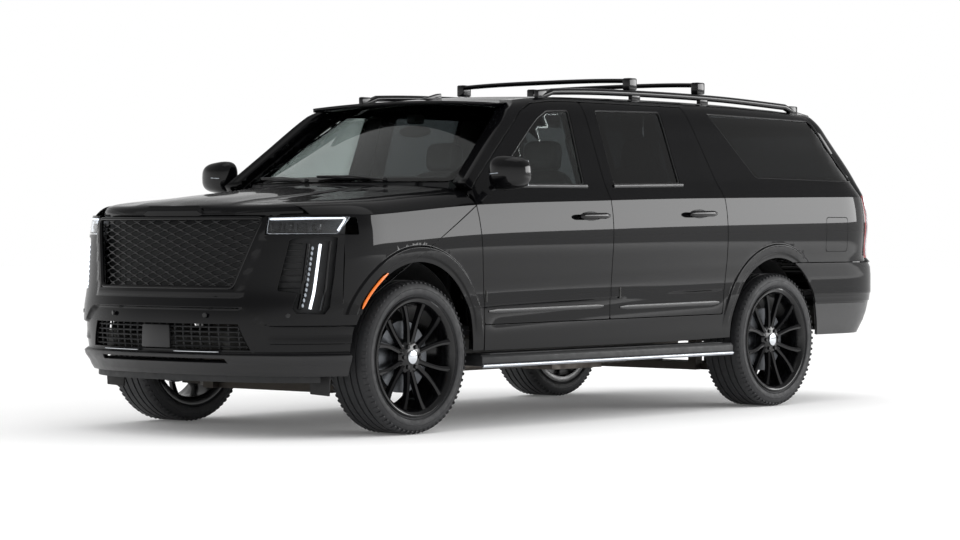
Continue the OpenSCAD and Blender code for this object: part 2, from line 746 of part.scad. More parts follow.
// Lugs on the liftgate, and the pins on the roof that hold them.
module gate_lugs() {
    both_sides() difference() {
        hull() {
            rod_x(gate_lug_x, gate_lug_x + 30, gate_hinge_y, gate_hinge_z, 11);
            box(gate_lug_x, gate_lug_x + 30, gate_hinge_y + 11, gate_hinge_y + 20, gate_hinge_z - 20, gate_hinge_z);
        }
        rod_x(gate_lug_x - 10, gate_lug_x + 40, gate_hinge_y, gate_hinge_z, gate_pin_r + pin_gap);
    }
}
module gate_brackets() {
    both_sides() difference() {
        for (x = [gate_lug_x - 20, gate_lug_x + 36])
            box(x, x + 14, gate_hinge_y - 17, gate_hinge_y + 8, gate_hinge_z - 12, gate_hinge_z + 6);
        rod_x(gate_lug_x - 14.3, gate_lug_x + 44.3, gate_hinge_y, gate_hinge_z, gate_pin_r + pin_fit);
    }
}
module gate_outline(gap = 0) {
    offset(gap) polygon([[-862, gate_low], [862, gate_low], [856, 1340], [806, 1500], [690, 1790],
        [640, 1872], [-640, 1872], [-690, 1790], [-806, 1500], [-856, 1340]]);
}
module gate_window(gap = 0) {
    offset(gap) polygon([[-740, 1415], [740, 1415], [650, 1765], [-650, 1765]]);
}

module liftgate() {
    color("#0b0b0d") shell() difference() {
        union() {
            intersection() {
                tail_slab(-70, 70, gate_low - 10, 1850, 16, 16, 4, 50);
                through_front(tail_y - 900, tail_y) gate_outline();
            }
            intersection() {
                tail_slab(-66, 66, gate_low + 20, 1370, 12, 8, 40, 84);
                through_front(tail_y - 900, tail_y) gate_outline(-16);
            }
            spoiler();
            gate_lugs();
        }
        through_front(tail_y - 900, tail_y - 60) gate_window();
        difference() {
            box(-900, 900, gate_hinge_y - 200, gate_hinge_y + 11, 1700, 1900);
            both_sides() box(gate_lug_x - 1, gate_lug_x + 31, gate_hinge_y - 20, gate_hinge_y + 20, gate_hinge_z - 21, 1900);
        }
        box(-plate_w, plate_w, tail_y - 260, tail_y, rear_plate_z - plate_h, rear_plate_z + plate_h);
    }
    // Carrier of the number plate.
    color("#0b0b0d") through_front(tail_y - rear_plate_in - 60, tail_y - rear_plate_in) difference() {
        offset(-0.3) translate([-plate_w, rear_plate_z - plate_h]) square([2 * plate_w, 2 * plate_h]);
        plate_holes(rear_plate_z);
    }
}

module spoiler() {
    hull() {
        box(-690, 690, gate_hinge_y + 12, gate_hinge_y + 17, 1824, 1868);
        box(-640, 640, tail_y - 425, tail_y - 420, 1836, 1854);
        box(-760, 760, tail_y - 500, tail_y - 480, 1826, 1844);
    }
}

module liftgate_glass() {
    color("#16181a", 0.7) shell() intersection() {
        tail_slab(-70, 70, 1400, 1790, 14, 8, 12, 12 + glass_t);
        through_front(tail_y - 900, tail_y - 60) gate_window(-0.3);
    }
}

// Rails along the roof's edges and two cross bars clamped on them.
rack_x = 655;
bar_y = [mid_y + 620, mid_y + 1320];
module roof_rack() {
    rail_h0 = roof_h - 36;
    color("#0b0b0d") shell() difference() {
        union() {
        both_sides() {
            hull() {
                translate([rack_x, mid_y - 190, roof_h - 34]) sphere(16, $fn = 8);
                translate([rack_x, mid_y + 60, roof_h + 6]) sphere(17, $fn = 8);
                translate([rack_x, axle_r + 400, roof_h + 2]) sphere(17, $fn = 8);
                translate([rack_x, axle_r + 620, roof_h - 40]) sphere(16, $fn = 8);
            }
        }
        for (y = bar_y) {
            hull() both_sides() translate([rack_x - 60, y, 2042]) scale([1, 2.2, 0.7]) sphere(16, $fn = 8);
            both_sides() hull() {
                translate([rack_x - 60, y, 2038]) scale([1, 2.2, 0.7]) sphere(16, $fn = 8);
                translate([rack_x, y, roof_h + 14]) scale([1, 3, 1]) sphere(18, $fn = 8);
            }
        }
        }
        roof_slab(-0.3, 200);
    }
}

module running_boards() {
    color("#111111") both_sides() {
        box(835, half_w + 4, axle_f + 512, axle_r - 512, 352, 418);
        for (y = [axle_f + 700, mid_y, axle_r - 700])
            box(rail_x + rail_w + 0.3, 834.9, y - 30, y + 30, rail_z + 30, rail_z + 70);
    }
}

// ---- Chassis ---------------------------------------------------------------
rail_x = 400;
axle_arch_h = 200;
rail_front_y = nose_y + front_plate_in + 30.3;
rail_rear_y = tail_y - 150;

// Room around the ends of the rails.
module rail_room() {
    g = 0.3;
    box(rail_x - g, rail_x + rail_w + g, nose_y, axle_f, 450 - g, 560 + g);
    box(rail_x - g, rail_x + rail_w + g, axle_r, rail_rear_y + g, rail_z + 150 - g,
        rail_z + 150 + rail_h * 0.8 + g);
}

module rail_profile() {
    polygon([[rail_front_y, 450], [axle_f + 360, 450], [axle_f + 540, rail_z], [axle_r - 700, rail_z],
        [axle_r - 430, rail_z + axle_arch_h], [axle_r + 430, rail_z + axle_arch_h],
        [axle_r + 700, rail_z + 150], [rail_rear_y, rail_z + 150],
        [rail_rear_y, rail_z + 150 + rail_h * 0.8], [axle_r + 720, rail_z + 150 + rail_h * 0.8],
        [axle_r + 450, rail_z + axle_arch_h + rail_h * 0.8], [axle_r - 450, rail_z + axle_arch_h + rail_h * 0.8],
        [axle_r - 730, rail_z + rail_h], [axle_f + 500, rail_z + rail_h], [axle_f + 340, 560],
        [rail_front_y, 560]]);
}

cross_y = [nose_y + 240, axle_f - 300, axle_f + 760, mid_y - 250, mid_y + 700, axle_r - 760,
    axle_r + 480, tail_y - 230];
function cross_z(y) = y < axle_f + 500 ? 470 : y < axle_r - 600 ? rail_z + 20
    : y < axle_r + 500 ? rail_z + axle_arch_h - 20 : rail_z + 170;
module chassis_frame() {
    color("#1c1c1c") {
        both_sides() through_side(rail_x, rail_x + rail_w) rail_profile();
        for (y = cross_y) box(-rail_x, rail_x, y - 40, y + 40, cross_z(y), cross_z(y) + 70);
        // Body mounts.
        both_sides() for (y = [axle_f + 700, mid_y, axle_r - 800]) translate([rail_x + 40, y, rail_z + rail_h])
            cylinder(h = floor_z - rail_z - rail_h - 0.3, r = 35);
    }
}
floor_z = 520;
floor_t = 25;
floor_half = 860;
cargo_z = 690;

module hitch_receiver() {
    out = hitch_in / 2 + hitch_wall;
    color("#1c1c1c") difference() {
        union() {
            box(-out, out, tail_y - 330, tail_y - hitch_mouth_in, hitch_z - out, hitch_z + out);
            box(-rail_x - rail_w, rail_x + rail_w, tail_y - 320, tail_y - 250, hitch_z - 35, hitch_z + 35);
            both_sides() box(rail_x, rail_x + rail_w, tail_y - 320, tail_y - 250, hitch_z + 35,
                rail_z + 150 - 0.3);
        }
        translate([-hitch_in / 2, tail_y - 340, hitch_z - hitch_in / 2]) cube([hitch_in, 280, hitch_in]);
        translate([0, tail_y - hitch_pin_in, hitch_z]) rotate([0, 90, 0]) cylinder(h = 200, r = hitch_pin_r, center = true);
    }
}
hitch_z = 430;
hitch_pin_in = 130;
hitch_mouth_in = 70;

house_x = 690;
module floor_pan() {
    t = floor_t;
    color("#18181a") difference() {
        through_side(-floor_half, floor_half) polygon([[firewall_y, floor_z], [axle_r - 790, floor_z],
            [axle_r - 690, cargo_z], [tail_y - 345, cargo_z], [tail_y - 345, cargo_z + t],
            [axle_r - 700, cargo_z + t], [axle_r - 800, floor_z + t], [firewall_y, floor_z + t]]);
        both_sides() box(house_x, 1000, axle_r - 512, axle_r + 520, 0, 1200);
    }
    color("#18181a") both_sides() {
        box(house_x - t, house_x, axle_r - 500, axle_r + 506, cargo_z + t + 0.3, 985);
    }
}

// Arches over the wheels.
module wheel_liners() {
    liner_t = 5;
    module ring(r) {
        difference() {
            circle(r + liner_t);
            circle(r);
            translate([-1000, -1400]) square([2000, 1400]);
        }
    }
    color("#141414") {
        both_sides() translate([rail_x + rail_w + 0.3, arch_f_y, arch_z]) rotate([90, 0, 90])
            linear_extrude(412) ring(arch_r + 8);
        both_sides() translate([house_x + 0.3, arch_r_y, arch_z]) rotate([90, 0, 90])
            linear_extrude(floor_half - house_x - 0.3) ring(arch_r + 6);
    }
}

module engine_block() {
    color("#3a3a3c") {
        box(-300, 300, axle_f - 380, axle_f + 330, 620, 1130);
        both_sides() box(299, 450, axle_f + 190, axle_f + 270, 560.3, 640);
    }
}

shaft_z = rail_z + rail_h - 12;
module driveline() {
    color("#4a4a4c") {
        // Gearbox.
        hull() {
            box(-200, 200, axle_f + 330.3, axle_f + 340, 530, 760);
            box(-110, 110, axle_f + 450, axle_f + 460, 430, 514);
        }
        box(-110, 110, axle_f + 455, axle_f + 1090, 430, 514);
        translate([0, axle_f + 1089, shaft_z]) rotate([-90, 0, 0]) cylinder(h = axle_r - axle_f - 1268, r = 45);
        // Rear differential and half shafts.
        translate([0, axle_r, axle_z]) rotate([-90, 0, 0]) translate([0, 0, -180]) cylinder(h = 340, r = 120);
        both_sides() rod_x(100, carrier_in - 0.3, axle_r, axle_z, 24);
    }
    color("#4a4a4c") {
        both_sides() rod_x(120, carrier_in - 34, axle_f, axle_z, 20);
        rod_x(-125, 125, axle_f, axle_z, 80);
        box(-60, 60, axle_f - 50, axle_f + 50, arm_z + 30.3, axle_z);
    }
}

module exhaust() {
    color("#77777a") both_sides() {
        box(120, 360, mid_y + 250, mid_y + 735, 262, rail_z + 19.7);
        translate([240, axle_f + 600, 308]) rotate([-90, 0, 0]) cylinder(h = mid_y + 251 - axle_f - 600, r = 32);
        translate([240, mid_y + 734, 308]) rotate([-90, 0, 0]) cylinder(h = 380, r = 32);
    }
}

carrier_in = track / 2 - 110;
hub_x = track / 2 - 40;
joint_x = 800;
joint_dz = 178;
joint_r = 21;
arm_z = axle_z - joint_dz;

module arm(y, z, h = 36) {
    // A wishbone from the frame to the ball joint.
    translate([0, y, z - h / 2]) linear_extrude(h)
        polygon([[rail_x + rail_w + 0.3, -170], [610, -70], [joint_x, -30], [joint_x, 30], [610, 70],
            [rail_x + rail_w + 0.3, 170]]);
}

module front_suspension() {
    color("#2a2a2c") both_sides() {
        difference() {
            arm(axle_f, arm_z);
            translate([joint_x, axle_f, 0]) cylinder(h = 1000, r = joint_r + pin_gap);
        }
        difference() {
            arm(axle_f, axle_z + joint_dz, 30);
            translate([joint_x, axle_f, 0]) cylinder(h = 1000, r = joint_r + pin_gap);
        }
        for (s = [-1, 1]) box(rail_x, rail_x + rail_w, axle_f + s * 110 - 60, axle_f + s * 110 + 60,
            arm_z - 30, 449.7);
        box(rail_x, rail_x + rail_w, axle_f - 170, axle_f + 170, 560.3, 640);
    }
    color("#2a2a2c") box(-rail_x + 0.3, rail_x - 0.3, axle_f - 120, axle_f + 120, arm_z - 30, arm_z + 30);
}

module rear_suspension() {
    color("#2a2a2c") {
        both_sides() {
            rod_x(carrier_in, hub_x - 0.3, axle_r, axle_z, 70);
            box(carrier_in, carrier_in + 50, axle_r - 50, axle_r + 50, arm_z - 20, axle_z - 30);
            box(rail_x + 40, carrier_in + 40, axle_r - 60, axle_r + 60, arm_z - 25, arm_z + 15);
            for (s = [-1, 1]) box(rail_x, rail_x + 60, axle_r + s * 85 - 35, axle_r + s * 85 + 35,
                arm_z - 25, rail_z + axle_arch_h - 0.3);
        }
        box(-rail_x - 20, rail_x + 20, axle_r - 110, axle_r + 110, arm_z - 25, arm_z + 25);
        box(-60, 60, axle_r - 60, axle_r + 60, arm_z + 24, axle_z - 120.3);
    }
}

module knuckle() {
    color("#3a3a3e") difference() {
        union() {
            rod_x(carrier_in, hub_x - 0.3, axle_f, axle_z, 68);
            box(joint_x - 30, joint_x + 25, axle_f - 35, axle_f + 35, arm_z + 24, axle_z + joint_dz - 20);
            translate([joint_x, axle_f, arm_z - 18]) cylinder(h = 60, r = joint_r);
            translate([joint_x, axle_f, axle_z + joint_dz - 40]) cylinder(h = 56, r = joint_r);
        }
    }
}
module knuckle_left() {
    knuckle();
}
module knuckle_right() {
    mirror([1, 0, 0]) knuckle();
}

// ---- Wheels, with the axle along X and the outer side at +X ----------------
module rim() {
    w = tyre_w / 2;
    seat = bead_d / 2 - 0.3;
    flange = rim_d / 2;
    color("#111113") rotate([0, 90, 0]) {
        rotate_extrude($fn = 96) polygon([[seat - 16, -w + 18], [seat - 16, w - 20], [seat, w - 22.3],
            [flange, w - 20], [flange, w - 8], [seat - 8, w - 4], [seat - 26, w - 40], [seat - 34, -w + 30],
            [seat - 12, -w + 8], [flange, -w + 10], [flange, -w + 20], [seat, -w + 22.3]]);
        // Hub, spokes and brake disc.
        translate([0, 0, -40]) cylinder(h = 144, r = 82);
        for (i = [0:spokes - 1], s = [-1, 1]) rotate(i * 360 / spokes + s * 9)
            translate([0, 0, 62]) linear_extrude(36)
                polygon([[70, -9], [seat - 21, -13], [seat - 21, 13], [70, 9]]);
        translate([0, 0, -30]) cylinder(h = 34, r = 185);
    }
}

module tyre() {
    w = tyre_w / 2;
    r = tyre_d / 2;
    seat = bead_d / 2;
    flange = rim_d / 2;
    color("#161616") rotate([0, 90, 0]) rotate_extrude($fn = 96) difference() {
        polygon([[seat, -w + 22.6], [flange + 0.3, -w + 20.3], [flange + 14, -w + 6], [r - 48, -w], [r - 22, -w + 6],
            [r - 5, -w + 26], [r, -w + 60], [r, w - 60], [r - 5, w - 26], [r - 22, w - 6], [r - 48, w],
            [flange + 14, w - 6], [flange + 0.3, w - 20.3], [seat, w - 22.6]]);
        polygon([[seat - 1, -w + 42], [r - 50, -w + 16], [r - 22, -w + 40], [r - 22, w - 40], [r - 50, w - 16],
            [seat - 1, w - 42]]);
    }
}

module at_wheel(side, y) {
    translate([side * track / 2, y, axle_z]) rotate([0, 0, side > 0 ? 0 : 180]) children();
}
module rim_front_left() {
    at_wheel(1, axle_f) rim();
}
module rim_front_right() {
    at_wheel(-1, axle_f) rim();
}
module rim_rear_left() {
    at_wheel(1, axle_r) rim();
}
module rim_rear_right() {
    at_wheel(-1, axle_r) rim();
}
module tyre_front_left() {
    at_wheel(1, axle_f) tyre();
}
module tyre_front_right() {
    at_wheel(-1, axle_f) tyre();
}
module tyre_rear_left() {
    at_wheel(1, axle_r) tyre();
}
module tyre_rear_right() {
    at_wheel(-1, axle_r) tyre();
}

// ---- Interior ---------------------------------------------------------------
module dashboard() {
    color("#1a1a1c") {
        difference() {
            through_side(-770, 770) polygon([[firewall_y + 0.3, 900], [firewall_y + 300, 900],
                [firewall_y + 360, 1080], [firewall_y + 340, 1200], [firewall_y + 180, 1262],
                [firewall_y + 0.3, 1270]]);
            at_steering() column(28.3);
        }
        box(-140, 140, firewall_y + 280, mid_y + 120, floor_z + floor_t + 0.3, 880);
        box(-140, 140, firewall_y + 200, firewall_y + 290, 860, 960);
    }
}

wheel_x = 400;
module at_steering() {
    translate([wheel_x, firewall_y + 500, 1120]) rotate([-66, 0, 0]) children();
}
module column(r) {
    translate([0, 0, -220]) cylinder(h = 210, r = r);
}
module steering_wheel() {
    color("#1a1a1c") at_steering() {
        rotate_extrude() translate([175, 0]) circle(15);
        translate([0, 0, -18]) cylinder(h = 30, r = 70);
        for (a = [90, 210, 330]) rotate(a) translate([50, -16, -10]) cube([115, 32, 16]);
        column(28);
    }
}

// A seat: cushion, back and headrest on a foot.
module seat(w, y, floor_level, back_h = 640) {
    z = floor_level;
    translate([-w / 2, y, z + 0.3]) {
        translate([30, 60, 0]) cube([w - 60, 380, 200]);
        translate([0, 0, 190]) cube([w, 500, 150]);
        translate([0, 430, 300]) rotate([-14, 0, 0]) {
            cube([w, 120, back_h]);
            translate([w / 2 - 130, 15, back_h - 20]) cube([260, 90, 210]);
        }
    }
}
module front_seats() {
    color("#202022") both_sides() translate([wheel_x, 0, 0]) seat(520, mid_y - 500, floor_z + floor_t);
}
module second_row_seats() {
    color("#202022") both_sides() translate([wheel_x, 0, 0]) seat(520, mid_y + 440, floor_z + floor_t);
}
module third_row_seat() {
    color("#202022") both_sides() translate([325, 0, 0]) seat(630, axle_r - 400, cargo_z + floor_t, 520);
}

chassis_frame();
hitch_receiver();
floor_pan();
body_sides();
roof_panel();
front_fenders();
front_bumper();
grille();
headlamps();
rear_bumper();
tail_lamps();
windshield();
quarter_glass();
engine_block();
driveline();
exhaust();
cowl_panel();
dashboard();
steering_wheel();
front_seats();
second_row_seats();
third_row_seat();
running_boards();
roof_rack();
wheel_liners();
front_suspension();
rear_suspension();
hood();
liftgate();
liftgate_glass();
fuel_door();
front_door_left();
front_door_glass_left();
mirror_left();
front_door_right();
front_door_glass_right();
mirror_right();
rear_door_left();
rear_door_glass_left();
rear_door_right();
rear_door_glass_right();
knuckle_left();
knuckle_right();
rim_front_left();
tyre_front_left();
rim_front_right();
tyre_front_right();
rim_rear_left();
tyre_rear_left();
rim_rear_right();
tyre_rear_right();
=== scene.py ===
"""Visual model of a full-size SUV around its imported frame.

Shapes are worked out in millimetres in the vehicle's own frame (+Z up, nose to -Y, left side +X)
and turned to metres when a piece is finished.
"""

from __future__ import annotations

import json
import logging
import math
from dataclasses import dataclass, field
from enum import Enum
from typing import Callable, Iterable, Sequence

import bmesh
import bpy
from mathutils import Matrix, Vector

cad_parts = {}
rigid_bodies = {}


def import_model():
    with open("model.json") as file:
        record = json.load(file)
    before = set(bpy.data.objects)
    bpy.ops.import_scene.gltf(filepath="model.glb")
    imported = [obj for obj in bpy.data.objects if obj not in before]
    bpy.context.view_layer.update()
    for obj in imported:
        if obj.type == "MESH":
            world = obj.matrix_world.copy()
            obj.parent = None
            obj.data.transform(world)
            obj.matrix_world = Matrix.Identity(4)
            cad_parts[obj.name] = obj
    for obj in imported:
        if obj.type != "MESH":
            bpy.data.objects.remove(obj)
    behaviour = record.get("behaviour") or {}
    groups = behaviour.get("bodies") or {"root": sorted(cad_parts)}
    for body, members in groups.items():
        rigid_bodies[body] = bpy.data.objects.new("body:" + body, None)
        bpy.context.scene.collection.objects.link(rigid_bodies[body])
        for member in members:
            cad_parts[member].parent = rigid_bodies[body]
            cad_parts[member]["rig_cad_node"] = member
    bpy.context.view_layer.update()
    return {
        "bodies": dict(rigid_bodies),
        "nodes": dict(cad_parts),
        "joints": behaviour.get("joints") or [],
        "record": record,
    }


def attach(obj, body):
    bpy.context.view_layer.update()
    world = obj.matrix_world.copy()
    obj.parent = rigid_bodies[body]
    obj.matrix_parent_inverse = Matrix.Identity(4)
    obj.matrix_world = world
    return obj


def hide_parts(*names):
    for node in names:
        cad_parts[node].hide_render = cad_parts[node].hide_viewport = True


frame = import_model()

LOG = logging.getLogger("suv")
MM = 0.001
ACROSS, ALONG, UP = Vector((1, 0, 0)), Vector((0, 1, 0)), Vector((0, 0, 1))  # left, rear, up
Point2 = tuple[float, float]
Outline = list[Point2]
Form = Callable[[float, float], Vector]


# ---------------------------------------------------------------- finishes
def srgb(code: str) -> tuple[float, float, float, float]:
    """Turn an sRGB hex colour into linear RGBA.

    Args:
        code: Colour such as "#1a1b1d".

    Returns:
        Linear red, green, blue and an alpha of one.
    """
    parts = [int(code[i : i + 2], 16) / 255 for i in (1, 3, 5)]
    r, g, b = (c / 12.92 if c <= 0.04045 else ((c + 0.055) / 1.055) ** 2.4 for c in parts)
    return r, g, b, 1.0


def add_node(tree: bpy.types.NodeTree, kind: str, inputs: dict | None = None, **settings) -> bpy.types.Node:
    """Add a node with its settings, values and links.

    Args:
        tree: Node tree that gets the node.
        kind: Node type name.
        inputs: Socket name or index to a value or to the socket that feeds it.
        **settings: Properties of the node.

    Returns:
        The new node.
    """
    node = tree.nodes.new(kind)
    for key, value in settings.items():
        setattr(node, key, value)
    for key, value in (inputs or {}).items():
        if isinstance(value, bpy.types.NodeSocket):
            tree.links.new(value, node.inputs[key])
        else:
            node.inputs[key].default_value = value
    return node


@dataclass(frozen=True)
class Finish:
    """A surface: its colours and gloss, and the fine pattern the maker's process leaves on it."""

    name: str
    colour: str
    second: str = ""
    rough: float = 0.4
    metallic: float = 0.0
    ior: float = 1.5
    coat: float = 0.0
    coat_ior: float = 1.5
    patch_mm: float = 60.0  # size of the patches in which the colour and gloss wander
    rough_spread: float = 0.04
    grain_mm: float = 0.0  # size of the moulded or woven grain
    grain_deep: float = 0.0
    sheen: float = 0.0
    glow: float = 0.0
    alpha: float = 1.0

    def build(self) -> bpy.types.Material:
        """Make the material once and give it out again later.

        Returns:
            The material of this finish.
        """
        found = bpy.data.materials.get(self.name)
        if found:
            return found
        made = bpy.data.materials.new(self.name)
        made.use_nodes = True
        tree = made.node_tree
        tree.nodes.clear()
        shader = add_node(tree, "ShaderNodeBsdfPrincipled")
        out = add_node(tree, "ShaderNodeOutputMaterial", {"Surface": shader.outputs[0]})
        self.dress(tree, shader, out)
        return made

    def dress(self, tree: bpy.types.NodeTree, shader: bpy.types.Node, out: bpy.types.Node) -> None:
        """Set the shader's sockets and add the patterns.

        Args:
            tree: The material's nodes.
            shader: Its Principled shader.
            out: Its output node.
        """
        fixed = {
            "Metallic": self.metallic,
            "Coat Weight": self.coat,
            "Sheen Weight": self.sheen,
            "Emission Strength": self.glow,
            "Alpha": self.alpha,
        }
        if self.metallic < 0.5:
            fixed["IOR"] = self.ior
        if self.coat:
            fixed |= {"Coat IOR": self.coat_ior, "Coat Roughness": 0.02}
        if self.glow:
            fixed["Emission Color"] = srgb(self.colour)
        for key, value in fixed.items():
            shader.inputs[key].default_value = value
        place = add_node(tree, "ShaderNodeTexCoord").outputs["Object"]
        patch = add_node(
            tree, "ShaderNodeTexNoise", {"Vector": place, "Scale": 1000 / self.patch_mm, "Detail": 4.0}
        ).outputs["Fac"]
        colour = add_node(
            tree,
            "ShaderNodeMix",
            {0: patch, 6: srgb(self.colour), 7: srgb(self.second or self.colour)},
            data_type="RGBA",
        )
        tree.links.new(colour.outputs[2], shader.inputs["Base Color"])
        gloss = add_node(
            tree,
            "ShaderNodeMapRange",
            {0: patch, 1: 0.3, 2: 0.7, 3: max(self.rough - self.rough_spread, 0.0),
             4: self.rough + self.rough_spread},
        )
        tree.links.new(gloss.outputs[0], shader.inputs["Roughness"])
        if self.grain_mm:
            tree.links.new(self.grain(tree, place), shader.inputs["Normal"])

    def grain(self, tree: bpy.types.NodeTree, place: bpy.types.NodeSocket) -> bpy.types.NodeSocket:
        """Moulded grain: soft irregular pits.

        Args:
            tree: The material's nodes.
            place: Object coordinates.

        Returns:
            The bumped normal.
        """
        cells = add_node(tree, "ShaderNodeTexNoise",
                         {"Vector": place, "Scale": 1000 / self.grain_mm, "Detail": 3.0})
        bump = add_node(
            tree,
            "ShaderNodeBump",
            {"Height": cells.outputs["Fac"], "Strength": self.grain_deep, "Distance": self.grain_mm * MM * 0.5},
        )
        return bump.outputs[0]


@dataclass(frozen=True)
class Leather(Finish):
    """Tanned hide: close round cells pressed into a soft surface."""

    def grain(self, tree: bpy.types.NodeTree, place: bpy.types.NodeSocket) -> bpy.types.NodeSocket:
        """Pebbled hide grain of Voronoi cells."""
        cells = add_node(tree, "ShaderNodeTexVoronoi", {"Vector": place, "Scale": 1000 / self.grain_mm})
        bump = add_node(
            tree,
            "ShaderNodeBump",
            {"Height": cells.outputs["Distance"], "Strength": self.grain_deep, "Distance": 0.0008},
        )
        return bump.outputs[0]


@dataclass(frozen=True)
class Glass(Finish):
    """Tinted safety glass: a smooth pane that light passes at its tint."""

    def dress(self, tree: bpy.types.NodeTree, shader: bpy.types.Node, out: bpy.types.Node) -> None:
        """Set a clear shader that lets the lamps' light through as well."""
        super().dress(tree, shader, out)
        shader.inputs["Transmission Weight"].default_value = 1.0
        shader.inputs["IOR"].default_value = self.ior
        path = add_node(tree, "ShaderNodeLightPath")
        through = add_node(tree, "ShaderNodeBsdfTransparent", {"Color": srgb(self.colour)})
        mix = add_node(
            tree, "ShaderNodeMixShader",
            {0: path.outputs["Is Shadow Ray"], 1: shader.outputs[0], 2: through.outputs[0]}
        )
        tree.links.new(mix.outputs[0], out.inputs["Surface"])


# Metallic basecoat under a clear lacquer: near black, with a sharp wet reflection.
BLACK_PAINT = Finish("black_basecoat_lacquer", "#060607", "#09090b", 0.3, ior=1.05, coat=0.55, coat_ior=1.45,
                     patch_mm=300, rough_spread=0.02)
# Painted and polished ABS mouldings of the nose, mirrors and spoiler.
GLOSS_BLACK = Finish("gloss_black_abs", "#050506", "#08080a", 0.1, ior=1.4, coat=0.0, patch_mm=120,
                     rough_spread=0.03)
# Injection-moulded ABS with a fine spark-eroded grain: dull dark grey.
GRAINED_ABS = Finish("grained_black_abs", "#101113", "#17181a", 0.55, patch_mm=40, rough_spread=0.08,
                     grain_mm=1.6, grain_deep=0.35)
SATIN_ABS = Finish("satin_black_abs", "#0b0b0d", "#101012", 0.34, patch_mm=50, rough_spread=0.06, grain_mm=2.5,
                   grain_deep=0.06)
# Bright-dipped aluminium trim.
BRIGHT_TRIM = Finish("bright_dipped_aluminium", "#d9dce0", "#c2c6cb", 0.14, metallic=1.0, patch_mm=30)
SATIN_METAL = Finish("brushed_aluminium", "#a9adb2", "#8f9398", 0.34, metallic=1.0, patch_mm=18)
# Machined and lacquered black alloy of the wheels.
BLACK_ALLOY = Finish("black_lacquered_alloy", "#070708", "#0c0c0e", 0.16, ior=1.45, coat=0.0, patch_mm=60,
                     rough_spread=0.04)
# Vulcanised rubber: dull, slightly brown-grey, dusty in patches.
TYRE_RUBBER = Finish("vulcanised_rubber", "#17171a", "#222325", 0.62, ior=1.52, patch_mm=25, rough_spread=0.1,
                     grain_mm=1.2, grain_deep=0.3)
SEAL_RUBBER = Finish("extruded_rubber", "#0c0c0d", "#121213", 0.6, patch_mm=30, grain_mm=1.5, grain_deep=0.15)
# Cast and machined iron and steel of the running gear.
CAST_IRON = Finish("cast_iron", "#3b3936", "#504a44", 0.55, metallic=0.8, patch_mm=14, rough_spread=0.12,
                   grain_mm=2.2,
                   grain_deep=0.5)
BRAKE_STEEL = Finish("ground_brake_steel", "#5c5e61", "#46484b", 0.36, metallic=1.0, patch_mm=8,
                     rough_spread=0.1)
# Frame steel under dipped black wax, with dust.
WAXED_STEEL = Finish("waxed_frame_steel", "#141516", "#26241f", 0.6, patch_mm=70, rough_spread=0.15, grain_mm=5,
                     grain_deep=0.2)
EXHAUST_STEEL = Finish("heat_tinted_steel", "#7d7873", "#5c554f", 0.42, metallic=1.0, patch_mm=50,
                       rough_spread=0.12)
# Needled felt of the wheel liners and under-trays.
LINER_FELT = Finish("needled_felt", "#0d0d0e", "#161617", 0.9, patch_mm=12, grain_mm=3, grain_deep=0.5)
# Loop-pile carpet on the floor.
CARPET = Finish("loop_pile_carpet", "#17171a", "#242427", 0.95, patch_mm=6, grain_mm=4, grain_deep=0.9,
                sheen=0.3)
SEAT_LEATHER = Leather("semi_aniline_leather", "#1d1c1d", "#262425", 0.42, patch_mm=90, rough_spread=0.07,
                       grain_mm=2.2, grain_deep=0.25)
SOFT_TRIM = Leather("slush_moulded_trim", "#1a1a1c", "#202022", 0.52, patch_mm=60, grain_mm=2.5, grain_deep=0.3)
CLEAR_GLASS = Glass("laminated_glass", "#c3cbc9", "#c3cbc9", 0.0, ior=1.5, rough_spread=0.0)
DARK_GLASS = Glass("privacy_glass", "#3c4042", "#3c4042", 0.0, ior=1.5, rough_spread=0.0)
LENS_CLEAR = Glass("clear_lamp_lens", "#e8ebee", "#e8ebee", 0.0, ior=1.49, rough_spread=0.0)
LENS_RED = Finish("red_acrylic_lens", "#6a0508", "#8d080c", 0.08, ior=1.49, coat=0.5, patch_mm=10,
                  rough_spread=0.04)
LENS_AMBER = Finish("amber_acrylic_lens", "#d2600a", "#e8780f", 0.16, ior=1.49, coat=0.5, patch_mm=14,
                    glow=0.25)
LED_WHITE = Finish("white_led_guide", "#eef3fb", "#dfe7f2", 0.2, glow=1.4, patch_mm=12)
LED_DIM = Finish("unlit_led_lens", "#b9c0c8", "#8f969e", 0.12, ior=1.49, coat=0.4, patch_mm=6)
REFLECTOR = Finish("aluminised_reflector", "#c9ccd0", "#aeb2b7", 0.18, metallic=1.0, patch_mm=12)
PLATE_BLANK = Finish("blank_plate_enamel", "#c9cbcd", "#bfc2c5", 0.35, patch_mm=40)


# ---------------------------------------------------------------- shape of the body
def curve(x: float, table: Sequence[Point2]) -> float:
    """Smooth curve through the points of a table, level beyond its ends.

    Args:
        x: Where to read the curve.
        table: Points in rising order.

    Returns:
        The curve's value.
    """
    i = 0
    while i < len(table) - 2 and x >= table[i + 1][0]:
        i += 1

    def slope(k: int) -> float:
        """Slope at a point, from its neighbours."""
        a, b = max(k - 1, 0), min(k + 1, len(table) - 1)
        return (table[b][1] - table[a][1]) / (table[b][0] - table[a][0])

    (x0, y0), (x1, y1) = table[i], table[i + 1]
    w = x1 - x0
    u = min(max((x - x0) / w, 0.0), 1.0)
    return (
        (2 * u**3 - 3 * u**2 + 1) * y0
        + (u**3 - 2 * u**2 + u) * w * slope(i)
        + (3 * u**2 - 2 * u**3) * y1
        + (u**3 - u**2) * w * slope(i + 1)
    )


